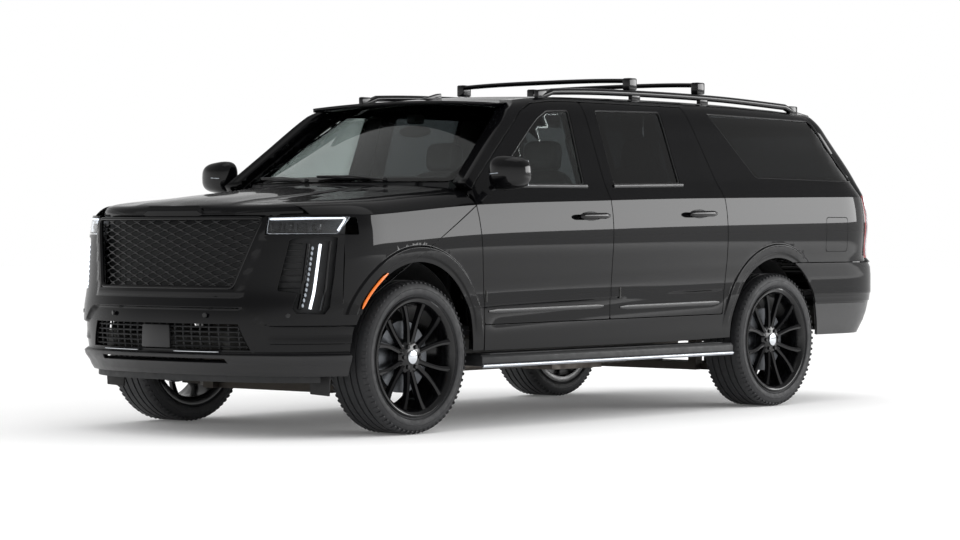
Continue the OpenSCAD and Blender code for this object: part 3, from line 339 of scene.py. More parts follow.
def broken_line(x: float, table: Sequence[Point2]) -> float:
    """Read a line of straight stretches, level beyond its ends."""
    for (x0, y0), (x1, y1) in zip(table, table[1:]):
        if x <= x1:
            return y0 + (y1 - y0) * max(x - x0, 0) / (x1 - x0)
    return float(table[-1][1])


def smooth(x: float) -> float:
    """Ease from 0 to 1."""
    x = min(max(x, 0.0), 1.0)
    return x * x * (3 - 2 * x)


@dataclass
class BodyShape:
    """The curves that every panel of the body lies on."""

    nose: float = -2895.0
    tail: float = 2895.0
    half_w: float = 1030.0
    axle_f: float = -1898.0
    axle_r: float = 1509.0
    mid: float = -194.5
    axle_z: float = 419.0
    arch_r: float = 482.0
    arch_z: float = 455.0
    roof_h: float = 1925.0
    crease_h: float = 1284.0
    hood_front_h: float = 1242.0
    cowl_h: float = 1392.0
    roof_half: float = 690.0
    nose_power: float = 2.5
    tail_power: float = 4.0

    def __post_init__(self) -> None:
        """Work out the tables that follow the overall sizes."""
        f, r, m, n, t = self.axle_f, self.axle_r, self.mid, self.nose, self.tail
        self.nose_side = f - 260
        self.rear_arch = r - 10
        self.tail_side = r + 640
        self.door_front = f + 495
        self.door_rear = r - 568
        self.nose_lean = [(300, 120), (360, 60), (460, 14), (620, 0), (800, 40), (1000, 78), (1160, 112),
                          (1240, 150), (1300, 190)]
        self.tail_lean = [(330, 330), (440, 175), (560, 40), (700, 0), (810, 0), (880, 30), (930, 128),
                          (1180, 132), (1340, 155), (1440, 200), (1600, 330), (1760, 480), (1850, 560)]
        self.crease_table = [(n, -105), (f - 450, -98), (f + 500, -34), (m, 0), (r - 900, 18), (t - 300, 46)]
        self.edge_table = [(f + 750, -80), (f + 1050, -45), (f + 1400, -12), (m + 200, 0), (r - 500, 0),
                           (r + 350, -12), (t - 450, -42)]
        self.low_table = [(0.2, 70), (0.3, 42), (0.45, 30), (0.54, 20), (0.6, 21), (0.7, 12), (0.83, 0),
                          (0.93, 6), (1, 20)]
        self.high_table = [(0, 20), (0.1, 50), (0.16, 68), (0.55, 148), (0.82, 204), (0.92, 240), (0.97, 276),
                           (1, 325)]
        self.taper_table = [(r - 700, 0), (r, 6), (t - 400, 30)]
        self.fall_table = [(0, 0), (0.5, 12), (0.75, 36), (0.87, 60), (1, 120)]
        self.fall_share = [(n + 100, 0.3), (f - 200, 0.9), (f + 300, 1)]
        self.hood_table = [(n + 100, self.hood_front_h - 12), (n + 300, self.hood_front_h + 26),
                           (f, self.hood_front_h + 100), (f + 500, self.cowl_h)]
        self.roof_table = [(f + 1080, -58), (f + 1400, -22), (m + 300, 0), (r - 300, 0), (r + 500, -26),
                           (t - 450, -48)]

    def crease(self, y: float) -> float:
        """Height of the shoulder crease."""
        return self.crease_h + curve(y, self.crease_table)

    def roof_edge(self, y: float) -> float:
        """Height of the roof's edge."""
        return self.roof_h - 25 + curve(y, self.edge_table)

    def plan_w(self, y: float, z: float) -> float:
        """Half width of the plan outline."""
        def end(run: float, power: float) -> float:
            """Width share of a superellipse end."""
            return (1 - min(max(run, 0.0), 1.0) ** power) ** (1 / power)

        if y < self.nose_side:
            return self.half_w * end((self.nose_side - y) / self.nose_run(z), self.nose_power)
        if y > self.tail_side:
            return self.half_w * end((y - self.tail_side) / self.tail_run(z), self.tail_power)
        return self.half_w

    def nose_run(self, z: float) -> float:
        """Length of the nose's rounded end."""
        return self.nose_side - self.nose - curve(z, self.nose_lean)

    def tail_run(self, z: float) -> float:
        """Length of the tail's rounded end."""
        return self.tail - self.tail_side - curve(z, self.tail_lean)

    def side_x(self, y: float, z: float) -> float:
        """Half width of the body side without its fine lines."""
        c = self.crease(y)
        if z <= c:
            return self.plan_w(y, z) - curve(z / c, self.low_table)
        share = (z - c) / (self.roof_edge(y) - c)
        taper = min((z - c) / 300, 1) * curve(y, self.taper_table)
        return self.plan_w(y, z) - curve(share, self.high_table) - taper

    def side(self, y: float, w: float) -> Vector:
        """Point of the left side, with the wheel-arch flares and the feature line low on the doors.

        Args:
            y: Station along the vehicle.
            w: Height above the shoulder crease.

        Returns:
            The point in millimetres.
        """
        z = self.crease(y) + w
        x = self.side_x(y, z)
        line = 715 + (y - self.mid) * 0.03  # the feature line climbs towards the tail
        if self.axle_f + 400 < y < self.axle_r - 400:
            ends = smooth((y - self.axle_f - 400) / 300) * smooth((self.axle_r - 400 - y) / 300)
            x -= ends * 9 * smooth((line - z) / 6) * smooth((z - line + 150) / 130)
        for axle in (self.axle_f, self.rear_arch):
            far = math.hypot(y - axle, max(z - self.arch_z, 0)) - self.arch_r
            up = smooth((z - 520) / 120)
            x += up * (9 * smooth((92 - far) / 16) - 6 * smooth((34 - far) / 14))
        return Vector((x, y, z))

    def arch_lines(self, axle: float, offsets: Sequence[float]) -> list[Outline]:
        """Lines round a wheel arch, in y and height above the crease, that its flare's facets follow."""
        lines = []
        for off in offsets:
            r = self.arch_r + off
            pts = [(axle + r * math.cos(math.radians(a)), self.arch_z + r * math.sin(math.radians(a)))
                   for a in range(0, 181, 5)]
            lines.append([(y, z - self.crease(y)) for y, z in pts])
        return lines

    def hood_mid(self, y: float) -> float:
        """Height of the hood's middle line."""
        return curve(y, self.hood_table)

    def hood_z(self, x: float, y: float) -> float:
        """Height of the hood."""
        wide = self.plan_w(y, 1240) - 20
        return self.hood_mid(y) - curve(min(abs(x) / wide, 1), self.fall_table) * curve(y, self.fall_share)

    def hood_half(self, y: float) -> float:
        """Half width of the hood panel."""
        return (self.plan_w(y, 1240) - 20) * 0.86

    def glass_y(self, x: float, s: float) -> float:
        """Station of the windshield, s from its foot to its head."""
        return self.axle_f + 300 + s * 810 + 0.000356 * x * x

    def glass_z(self, x: float, s: float) -> float:
        """Height of the windshield."""
        foot, head = self.cowl_h - 14, self.roof_h - 62
        return foot + s * (head - foot) - s * 0.00009 * x * x

    def roof_z(self, x: float, y: float) -> float:
        """Height of the roof panel."""
        return self.roof_h + curve(y, self.roof_table) - 24 * (x / self.roof_half) ** 2

    def end_point(self, side_y: float, run: float, power: float, out: float, a: float, z: float) -> Vector:
        """Point on a rounded end of the vehicle.

        Args:
            side_y: Where the straight side ends.
            run: Length of the rounded end; negative for the nose.
            power: Power of its superellipse.
            out: How far the point lies outside the form.
            a: Degrees round the end, 0 in the middle and 90 at the left side.
            z: Height.

        Returns:
            The point in millimetres.
        """
        s, c = math.sin(math.radians(a)), math.cos(math.radians(a))
        wide = self.half_w - curve(z / self.crease_h, self.low_table) + out
        x = math.copysign(abs(s) ** (2 / power), s) * wide
        way = -1 if run < 0 else 1
        return Vector((x, side_y + way * max(c, 0.0) ** (2 / power) * (abs(run) + out), z))

    def nose_at(self, a: float, z: float, out: float = 0.0) -> Vector:
        """Point of the nose."""
        return self.end_point(self.nose_side, -self.nose_run(z), self.nose_power, out, a, z)

    def tail_at(self, a: float, z: float, out: float = 0.0) -> Vector:
        """Point of the tail."""
        return self.end_point(self.tail_side, self.tail_run(z), self.tail_power, out, a, z)

    def nose_angle(self, x: float, z: float) -> float:
        """Degrees round the nose at which it is x wide."""
        wide = self.half_w - curve(z / self.crease_h, self.low_table)
        return math.copysign(math.degrees(math.asin(min(abs(x) / wide, 1) ** (self.nose_power / 2))), x)

    def tail_angle(self, x: float, z: float) -> float:
        """Degrees round the tail at which it is x wide."""
        wide = self.half_w - curve(z / self.crease_h, self.low_table)
        return math.copysign(math.degrees(math.asin(min(abs(x) / wide, 1) ** (self.tail_power / 2))), x)

    def nose_by_x(self, x: float, z: float, out: float = 0.0) -> Vector:
        """Point of the nose that lies x from the middle."""
        return self.nose_at(self.nose_angle(x, z), z, out)

    def nose_angle_y(self, y: float, z: float) -> float:
        """Degrees round the nose at station y."""
        share = min(max((self.nose_side - y) / self.nose_run(z), 0), 1)
        return math.degrees(math.acos(share ** (self.nose_power / 2)))

    def tail_angle_y(self, y: float, z: float) -> float:
        """Degrees round the tail at station y."""
        share = min(max((y - self.tail_side) / self.tail_run(z), 0), 1)
        return math.degrees(math.acos(share ** (self.tail_power / 2)))


SHAPE = BodyShape()


# ---------------------------------------------------------------- building pieces
def steps(a: float, b: float, count: int) -> list[float]:
    """Evenly spaced values from a to b."""
    return [a + (b - a) * i / count for i in range(count + 1)]


def rounded(points: Outline, radius: float, cuts: int = 3) -> Outline:
    """Round the corners of a closed outline.

    Args:
        points: Corners in order.
        radius: Distance from each corner at which its arc starts, halved on short sides.
        cuts: Pieces in each arc.

    Returns:
        The outline with arcs for corners.
    """
    done: Outline = []
    count = len(points)
    for i, here in enumerate(points):
        corner = Vector(here)
        before, after = Vector(points[i - 1]) - corner, Vector(points[(i + 1) % count]) - corner
        reach = min(radius, before.length * 0.45, after.length * 0.45)
        a, b = corner + before.normalized() * reach, corner + after.normalized() * reach
        for t in steps(0, 1, cuts):
            done.append(tuple(a * (1 - t) ** 2 + corner * 2 * t * (1 - t) + b * t * t))
    return done


def grown(points: Outline, gap: float) -> Outline:
    """Offset a closed outline outwards by a gap, corner by corner."""
    area = sum(a[0] * b[1] - b[0] * a[1] for a, b in zip(points, points[1:] + points[:1]))
    turn = 1 if area > 0 else -1
    done: Outline = []
    for i, here in enumerate(points):
        p = Vector(here)
        d0 = (p - Vector(points[i - 1])).normalized()
        d1 = (Vector(points[(i + 1) % len(points)]) - p).normalized()
        n0, n1 = Vector((d0.y, -d0.x)) * turn, Vector((d1.y, -d1.x)) * turn
        mid = (n0 + n1).normalized()
        done.append(tuple(p + mid * gap / max(mid.dot(n0), 0.35)))
    return done


def split_long(points: Outline, longest: float = 70.0) -> Outline:
    """Add points along the long sides of a closed outline."""
    done: Outline = []
    for a, b in zip(points, points[1:] + points[:1]):
        count = max(1, math.ceil(math.dist(a, b) / longest))
        done += [(a[0] + (b[0] - a[0]) * i / count, a[1] + (b[1] - a[1]) * i / count) for i in range(count)]
    return done


def inside(p: Point2, points: Outline) -> bool:
    """Tell whether a point lies in a closed outline."""
    hit = False
    for (x0, y0), (x1, y1) in zip(points, points[1:] + points[:1]):
        if (y0 > p[1]) != (y1 > p[1]) and p[0] < (x1 - x0) * (p[1] - y0) / (y1 - y0) + x0:
            hit = not hit
    return hit


def arc(cx: float, cy: float, r: float, start: float, stop: float, count: int) -> Outline:
    """Points of an arc, in degrees."""
    return [(cx + r * math.cos(math.radians(a)), cy + r * math.sin(math.radians(a)))
            for a in steps(start, stop, count)]


@dataclass
class Panel:
    """A sheet cut to an outline on a flat grid, laid on a form, with rolled edges and a return."""

    form: Form
    outline: Outline
    us: list[float]
    vs: list[float]
    holes: list[Outline] = field(default_factory=list)
    depth: Callable[[float, float], float] | float = 18.0
    inward: Callable[[float, float, Vector, float], Vector] | None = None
    roll: float = 2.0
    flip: bool = False
    creases: list[Outline] = field(default_factory=list)  # open lines that the grid follows

    def score(self, bm: bmesh.types.BMesh, line: Outline) -> None:
        """Cut the sheet along an open line and keep both sides.

        Args:
            bm: The flat sheet.
            line: Points of the line.
        """
        for a, b in zip(line, line[1:]):
            if math.dist(a, b) < 1e-4:
                continue
            lo = (min(a[0], b[0]) - 0.01, min(a[1], b[1]) - 0.01)
            hi = (max(a[0], b[0]) + 0.01, max(a[1], b[1]) + 0.01)
            near = [
                f
                for f in bm.faces
                if min(v.co.x for v in f.verts) < hi[0]
                and max(v.co.x for v in f.verts) > lo[0]
                and min(v.co.y for v in f.verts) < hi[1]
                and max(v.co.y for v in f.verts) > lo[1]
            ]
            parts = near + list({e for f in near for e in f.edges}) + list({v for f in near for v in f.verts})
            across = Vector((a[1] - b[1], b[0] - a[0], 0))
            bmesh.ops.bisect_plane(bm, geom=parts, dist=1e-4, plane_co=(*a, 0), plane_no=across.normalized())

    def trim(self, bm: bmesh.types.BMesh, outline: Outline, keep: bool) -> None:
        """Cut the sheet along an outline and delete one side.

        Args:
            bm: The flat sheet.
            outline: Closed outline.
            keep: True keeps the inside.
        """
        self.score(bm, outline + outline[:1])
        gone = [f for f in bm.faces if inside(tuple(f.calc_center_median())[:2], outline) != keep]
        bmesh.ops.delete(bm, geom=gone, context="FACES")

    def build(self) -> bmesh.types.BMesh:
        """Make the panel.

        Returns:
            The panel's mesh in millimetres, its face normals pointing off the form.
        """
        bm = bmesh.new()
        bmesh.ops.create_grid(bm, x_segments=1, y_segments=1, size=0.5)
        corners = {(-1, -1): (0, 0), (1, -1): (-1, 0), (1, 1): (-1, -1), (-1, 1): (0, -1)}
        for v in bm.verts:
            i, j = corners[(round(v.co.x * 2), round(v.co.y * 2))]
            v.co = (self.us[i], self.vs[j], 0)
        for axis, values in ((0, self.us[1:-1]), (1, self.vs[1:-1])):
            for value in values:
                at, no = [0.0, 0.0, 0.0], [0.0, 0.0, 0.0]
                at[axis], no[axis] = value, 1.0
                bmesh.ops.bisect_plane(
                    bm, geom=bm.verts[:] + bm.edges[:] + bm.faces[:], dist=1e-4, plane_co=at, plane_no=no
                )
        for line in self.creases:
            self.score(bm, line)
        self.trim(bm, self.outline, True)
        for hole in self.holes:
            self.trim(bm, hole, False)
        bmesh.ops.remove_doubles(bm, verts=bm.verts, dist=0.02)
        return self.lay(bm)

    def lay(self, bm: bmesh.types.BMesh) -> bmesh.types.BMesh:
        """Lay the flat sheet on the form and close it behind.

        Args:
            bm: The trimmed flat sheet.

        Returns:
            The same mesh.
        """
        keep = bm.verts.layers.float_vector.new("form_normal")
        flat = {v: (v.co.x, v.co.y) for v in bm.verts}
        for v, (u, w) in flat.items():
            here = self.form(u, w)
            du = self.form(u + 1, w) - self.form(u - 1, w)
            dw = self.form(u, w + 1) - self.form(u, w - 1)
            normal = du.cross(dw)
            normal = normal.normalized() if normal.length > 1e-9 else UP
            v.co, v[keep] = here, (-normal if self.flip else normal)
        if self.flip:
            bmesh.ops.reverse_faces(bm, faces=bm.faces)
        skin = bm.faces[:]
        rim = [e for e in bm.edges if e.is_boundary]
        outward: dict[bmesh.types.BMVert, Vector] = {}
        for e in rim:
            face = e.link_faces[0]
            for v in e.verts:
                side = (e.verts[1].co - e.verts[0].co).cross(v[keep])
                if side.dot(face.calc_center_median() - v.co) > 0:
                    side.negate()
                outward[v] = outward.get(v, Vector()) + side.normalized()
        ret = bmesh.ops.duplicate(bm, geom=bm.verts[:] + bm.edges[:] + skin)
        twin = {v: ret["vert_map"][v] for v in flat}
        for v, back in twin.items():
            deep = self.depth(*flat[v]) if callable(self.depth) else self.depth
            back.co = self.inward(*flat[v], v[keep], deep) if self.inward else v.co - v[keep] * deep
            back[keep] = (0, 0, 0)
        backs = [g for g in ret["geom"] if isinstance(g, bmesh.types.BMFace)]
        bmesh.ops.reverse_faces(bm, faces=backs)
        ring = {v: v for v in outward}
        edges = rim
        for angle in (30, 60, 90):
            ret = bmesh.ops.extrude_edge_only(bm, edges=edges)
            fresh = {g for g in ret["geom"] if isinstance(g, bmesh.types.BMVert)}
            follow = {}
            for root, last in ring.items():
                new = next(e.other_vert(last) for e in last.link_edges if e.other_vert(last) in fresh)
                turn = math.radians(angle)
                new.co = (
                    root.co
                    + outward[root].normalized() * self.roll * math.sin(turn)
                    - root[keep] * self.roll * (1 - math.cos(turn))
                )
                new[keep] = (0, 0, 0)
                follow[root] = new
            ring = follow
            edges = [g for g in ret["geom"] if isinstance(g, bmesh.types.BMEdge)]
        ret = bmesh.ops.extrude_edge_only(bm, edges=edges)
        fresh = {g for g in ret["geom"] if isinstance(g, bmesh.types.BMVert)}
        weld = {}
        for root, last in ring.items():
            new = next(e.other_vert(last) for e in last.link_edges if e.other_vert(last) in fresh)
            weld[new] = twin[root]
        bmesh.ops.weld_verts(bm, targetmap=weld)
        bmesh.ops.recalc_face_normals(bm, faces=[f for f in bm.faces if f not in skin])
        return bm


def mirrored(bm: bmesh.types.BMesh) -> bmesh.types.BMesh:
    """Copy a mesh to the other side of the vehicle.

    Args:
        bm: A mesh of the left side.

    Returns:
        Its mirror image, faces still outwards.
    """
    other = bm.copy()
    layer = other.verts.layers.float_vector.get("form_normal")
    bmesh.ops.scale(other, vec=(-1, 1, 1), verts=other.verts)
    if layer:
        for v in other.verts:
            v[layer] = (-v[layer][0], v[layer][1], v[layer][2])
    bmesh.ops.reverse_faces(other, faces=other.faces)
    return other


@dataclass
class Stock:
    """Bars, tubes and turned or moulded blocks that share one mesh."""

    bm: bmesh.types.BMesh = field(default_factory=bmesh.new)
    mark: int = 0

    def paint(self, faces: Iterable[bmesh.types.BMFace]) -> None:
        """Give new faces the current finish."""
        for f in faces:
            f.material_index = self.mark

    def block(self, x: Point2, y: Point2, z: Point2, bevel: float = 3.0, cuts: int = 2) -> "Stock":
        """Add a block with rounded edges.

        Args:
            x: Lowest and highest x.
            y: Lowest and highest y.
            z: Lowest and highest z.
            bevel: Radius of its edges.
            cuts: Segments of each edge.

        Returns:
            Itself, for the next call.
        """
        centre = Vector([(a + b) / 2 for a, b in (x, y, z)])
        size = [b - a for a, b in (x, y, z)]
        ret = bmesh.ops.create_cube(self.bm, size=1.0,
                                    matrix=Matrix.Translation(centre) @ Matrix.Diagonal((*size, 1)))
        self.finish_edges(ret["verts"], bevel, cuts)
        return self

    def finish_edges(self, verts: Sequence[bmesh.types.BMVert], bevel: float, cuts: int) -> None:
        """Round the sharp edges of fresh vertices and paint their faces.

        Args:
            verts: The fresh vertices.
            bevel: Radius.
            cuts: Segments.
        """
        edges = {e for v in verts for e in v.link_edges}
        faces = {f for v in verts for f in v.link_faces}
        self.paint(faces)
        if bevel > 0:
            sharp = [e for e in edges if len(e.link_faces) == 2 and e.calc_face_angle(0) > 0.5]
            bmesh.ops.bevel(self.bm, geom=sharp, offset=bevel, offset_type="OFFSET", affect="EDGES",
                            segments=cuts,
                            profile=0.5, material=-1, clamp_overlap=True)

    def prism(self, outline: Outline, place: Callable[[float, float, float], Vector], lo: float, hi: float,
              bevel: float = 2.0, cuts: int = 2) -> "Stock":
        """Add an extruded outline.

        Args:
            outline: Closed outline in two axes.
            place: Turns the outline's two values and a depth into a point.
            lo: First depth.
            hi: Second depth.
            bevel: Radius of the edges.
            cuts: Segments of each edge.

        Returns:
            Itself.
        """
        base = [self.bm.verts.new(place(u, v, lo)) for u, v in outline]
        face = self.bm.faces.new(base)
        ret = bmesh.ops.extrude_face_region(self.bm, geom=[face])
        tops = [g for g in ret["geom"] if isinstance(g, bmesh.types.BMVert)]
        shift = place(0, 0, hi) - place(0, 0, lo)
        bmesh.ops.translate(self.bm, vec=shift, verts=tops)
        verts = base + tops
        faces = list({f for v in verts for f in v.link_faces})
        bmesh.ops.recalc_face_normals(self.bm, faces=faces)
        self.finish_edges(verts, bevel, cuts)
        return self

    def tube(self, path: Sequence[Vector], radii: Sequence[float] | float, sides: int = 12, flat: float = 1.0,
             up: Vector | None = None) -> "Stock":
        """Add a closed tube of rings along a path.

        Args:
            path: Centres of the rings.
            radii: One radius, or one a ring.
            sides: Points of a ring.
            flat: Height of the section over its width.
            up: Direction of the section's height.

        Returns:
            Itself.
        """
        sizes = [radii] * len(path) if isinstance(radii, (int, float)) else list(radii)
        rings = []
        up = up or UP
        for i, centre in enumerate(path):
            along = (path[min(i + 1, len(path) - 1)] - path[max(i - 1, 0)]).normalized()
            wide = up.cross(along)
            wide = wide.normalized() if wide.length > 1e-6 else ACROSS
            high = along.cross(wide).normalized()
            spin = Matrix((wide, high * flat, along)).transposed().to_4x4()
            ret = bmesh.ops.create_circle(self.bm, segments=sides, radius=sizes[i], cap_ends=False,
                                          matrix=Matrix.Translation(centre) @ spin)
            rings.append(ret["verts"])
        loops = [list({e for v in ring for e in v.link_edges}) for ring in rings]
        verts = [v for ring in rings for v in ring]
        for a, b in zip(loops, loops[1:]):
            bmesh.ops.bridge_loops(self.bm, edges=a + b)
        for loop in (loops[0], loops[-1]):
            bmesh.ops.holes_fill(self.bm, edges=loop, sides=sides)
        faces = list({f for v in verts for f in v.link_faces})
        bmesh.ops.recalc_face_normals(self.bm, faces=faces)
        self.paint(faces)
        return self

    def turned(self, profile: Outline, centre: Vector, axis: Vector, sides: int = 64,
               closed: bool = False) -> "Stock":
        """Add a turned form.

        Args:
            profile: Points of radius and height along the axis.
            centre: Origin of the profile.
            axis: Axis of the turning.
            sides: Steps of the turn.
            closed: True joins the profile's last point to its first.

        Returns:
            Itself.
        """
        axis = axis.normalized()
        out = axis.orthogonal().normalized()
        verts = [self.bm.verts.new(centre + out * r + axis * h) for r, h in profile]
        edges = [self.bm.edges.new(p) for p in zip(verts, verts[1:])]
        if closed:
            edges.append(self.bm.edges.new((verts[-1], verts[0])))
        ret = bmesh.ops.spin(self.bm, geom=verts + edges, cent=centre, axis=axis, angle=math.tau, steps=sides,
                             use_merge=True, use_duplicate=False)
        fresh = {g for g in ret["geom_last"] if isinstance(g, bmesh.types.BMVert)} | set(verts)
        shell = set()
        edge = list(fresh)
        while edge:
            v = edge.pop()
            if v in shell:
                continue
            shell.add(v)
            edge += [e.other_vert(v) for e in v.link_edges]
        bmesh.ops.remove_doubles(self.bm, verts=list(shell), dist=0.01)
        faces = list({f for v in shell if v.is_valid for f in v.link_faces})
        bmesh.ops.recalc_face_normals(self.bm, faces=faces)
        self.paint(faces)
        return self

    def ball(self, centre: Vector, radii: Sequence[float], turn: Matrix | None = None,
             fine: int = 3) -> "Stock":
        """Add an ellipsoid."""
        matrix = Matrix.Translation(centre) @ (turn or Matrix()) @ Matrix.Diagonal((*radii, 1))
        ret = bmesh.ops.create_icosphere(self.bm, subdivisions=fine, radius=1.0, matrix=matrix)
        self.paint({f for v in ret["verts"] for f in v.link_faces})
        return self


def piece(bm: bmesh.types.BMesh | Stock, name: str, body: str, finishes: Finish | Sequence[Finish],
          stands_for: Sequence[str] = (), sharp: float = 35.0) -> bpy.types.Object:
    """Finish a piece: metres, smooth faces, stored normals, materials, body and replaced nodes.

    Args:
        bm: The mesh in millimetres, which is freed.
        name: Name of the piece.
        body: The body it rides on.
        finishes: One finish, or one for each face mark.
        stands_for: CAD nodes that it replaces.
        sharp: Edges over this angle in degrees stay sharp.

    Returns:
        The finished object.
    """
    bm = bm.bm if isinstance(bm, Stock) else bm
    bmesh.ops.scale(bm, vec=(MM, MM, MM), verts=bm.verts)
    layer = bm.verts.layers.float_vector.get("form_normal")
    for e in bm.edges:
        e.smooth = len(e.link_faces) != 2 or e.calc_face_angle(0) < math.radians(sharp)
    for f in bm.faces:
        f.smooth = True
    bm.verts.index_update()
    normals = [Vector(v[layer]) if layer else Vector() for v in bm.verts]
    mesh = bpy.data.meshes.new(name)
    bm.to_mesh(mesh)
    bm.free()
    if any(n.length > 0.5 for n in normals):
        mesh.normals_split_custom_set_from_vertices(normals)
    stored = mesh.attributes.get("form_normal")
    if stored:
        mesh.attributes.remove(stored)
    for finish in [finishes] if isinstance(finishes, Finish) else finishes:
        mesh.materials.append(finish.build())
    made = bpy.data.objects.new(name, mesh)
    bpy.context.scene.collection.objects.link(made)
    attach(made, body)
    if stands_for:
        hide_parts(*stands_for)
    LOG.info("%s: %d faces on %s", name, len(mesh.polygons), body)
    return made


# ---------------------------------------------------------------- body panels
class Side(Enum):
    """Left or right side of the vehicle."""

    LEFT = 1
    RIGHT = -1

    @property
    def word(self) -> str:
        """Lower-case name used in piece and body names."""
        return self.name.lower()


def handed(bm: bmesh.types.BMesh, side: Side) -> bmesh.types.BMesh:
    """Give a left-side mesh to a side; the right gets a mirrored copy and the left a plain one."""
    return mirrored(bm) if side is Side.RIGHT else bm.copy()



def both_sides(bm: bmesh.types.BMesh, name: str, finishes: Finish | Sequence[Finish],
               stands_for: Sequence[str] = (),
               sharp: float = 35.0) -> None:
    """Finish a left-side mesh as two pieces of the body, of which the left stands for the nodes.

    Args:
        bm: The left-side mesh in millimetres, which is freed.
        name: Name of the pieces, before their side.
        finishes: One finish, or one for each face mark.
        stands_for: CAD nodes that the left piece replaces.
        sharp: Edges over this angle in degrees stay sharp.
    """
    for side in Side:
        nodes = stands_for if side is Side.LEFT else ()
        piece(handed(bm, side), f"{name}_{side.word}", "body", finishes, nodes, sharp)
    bm.free()


FINE_ROWS = [-9, -3, 0, 3, 9]  # grid lines that keep the shoulder crease crisp
LOW_ROWS = [-860, -800, -740, -690, -640, -618, -606, -598, -588, -575, -565, -556, -545, -520, -480, -440,
            -400,
            -360, -320, -290, -260, -230, -200, -170, -140, -110, -80, -50, -25]
HIGH_ROWS = [22, 40, 60, 85, 110, 150, 190, 230, 280, 330, 380, 420, 460, 490, 520, 545, 565, 580, 595, 610,
             630]
FLARE = (12, 20, 27, 34, 55, 76, 81, 87, 92)  # offsets of the arch flare's facets
SIDE_ROWS = LOW_ROWS + FINE_ROWS + HIGH_ROWS
OPEN_ROWS = SIDE_ROWS[:-1] + [622, 640]
BELT_BREAK = 1348.0  # height at which the returns of the door openings become shallower
PILLAR_LINE = [(906, 2545), (1180, 2545), (1340, 2540), (1440, 2495), (1600, 2375), (1760, 2255), (1850, 2205)]
GATE_LINE = [(905, 862), (925, 862), (1340, 856), (1500, 806), (1790, 690),
             (1872, 640)]  # its half width by height


def to_crease(outline: Outline, longest: float = 60.0) -> Outline:
    """Turn an outline in y and z into one in y and height above the crease."""
    return [(y, z - SHAPE.crease(y)) for y, z in split_long(outline, longest)]


def side_depth(low: float, high: float, belt: float = 1336.0) -> Callable[[float, float], float]:
    """Depth of a side panel: one value below the belt line and another above it."""
    return lambda y, w: low if SHAPE.crease(y) + w < belt else high


def straight_in(form: Form) -> Callable[[float, float, Vector, float], Vector]:
    """Returns of side panels run straight towards the middle of the vehicle."""
    return lambda u, v, normal, deep: form(u, v) - Vector((deep, 0, 0))


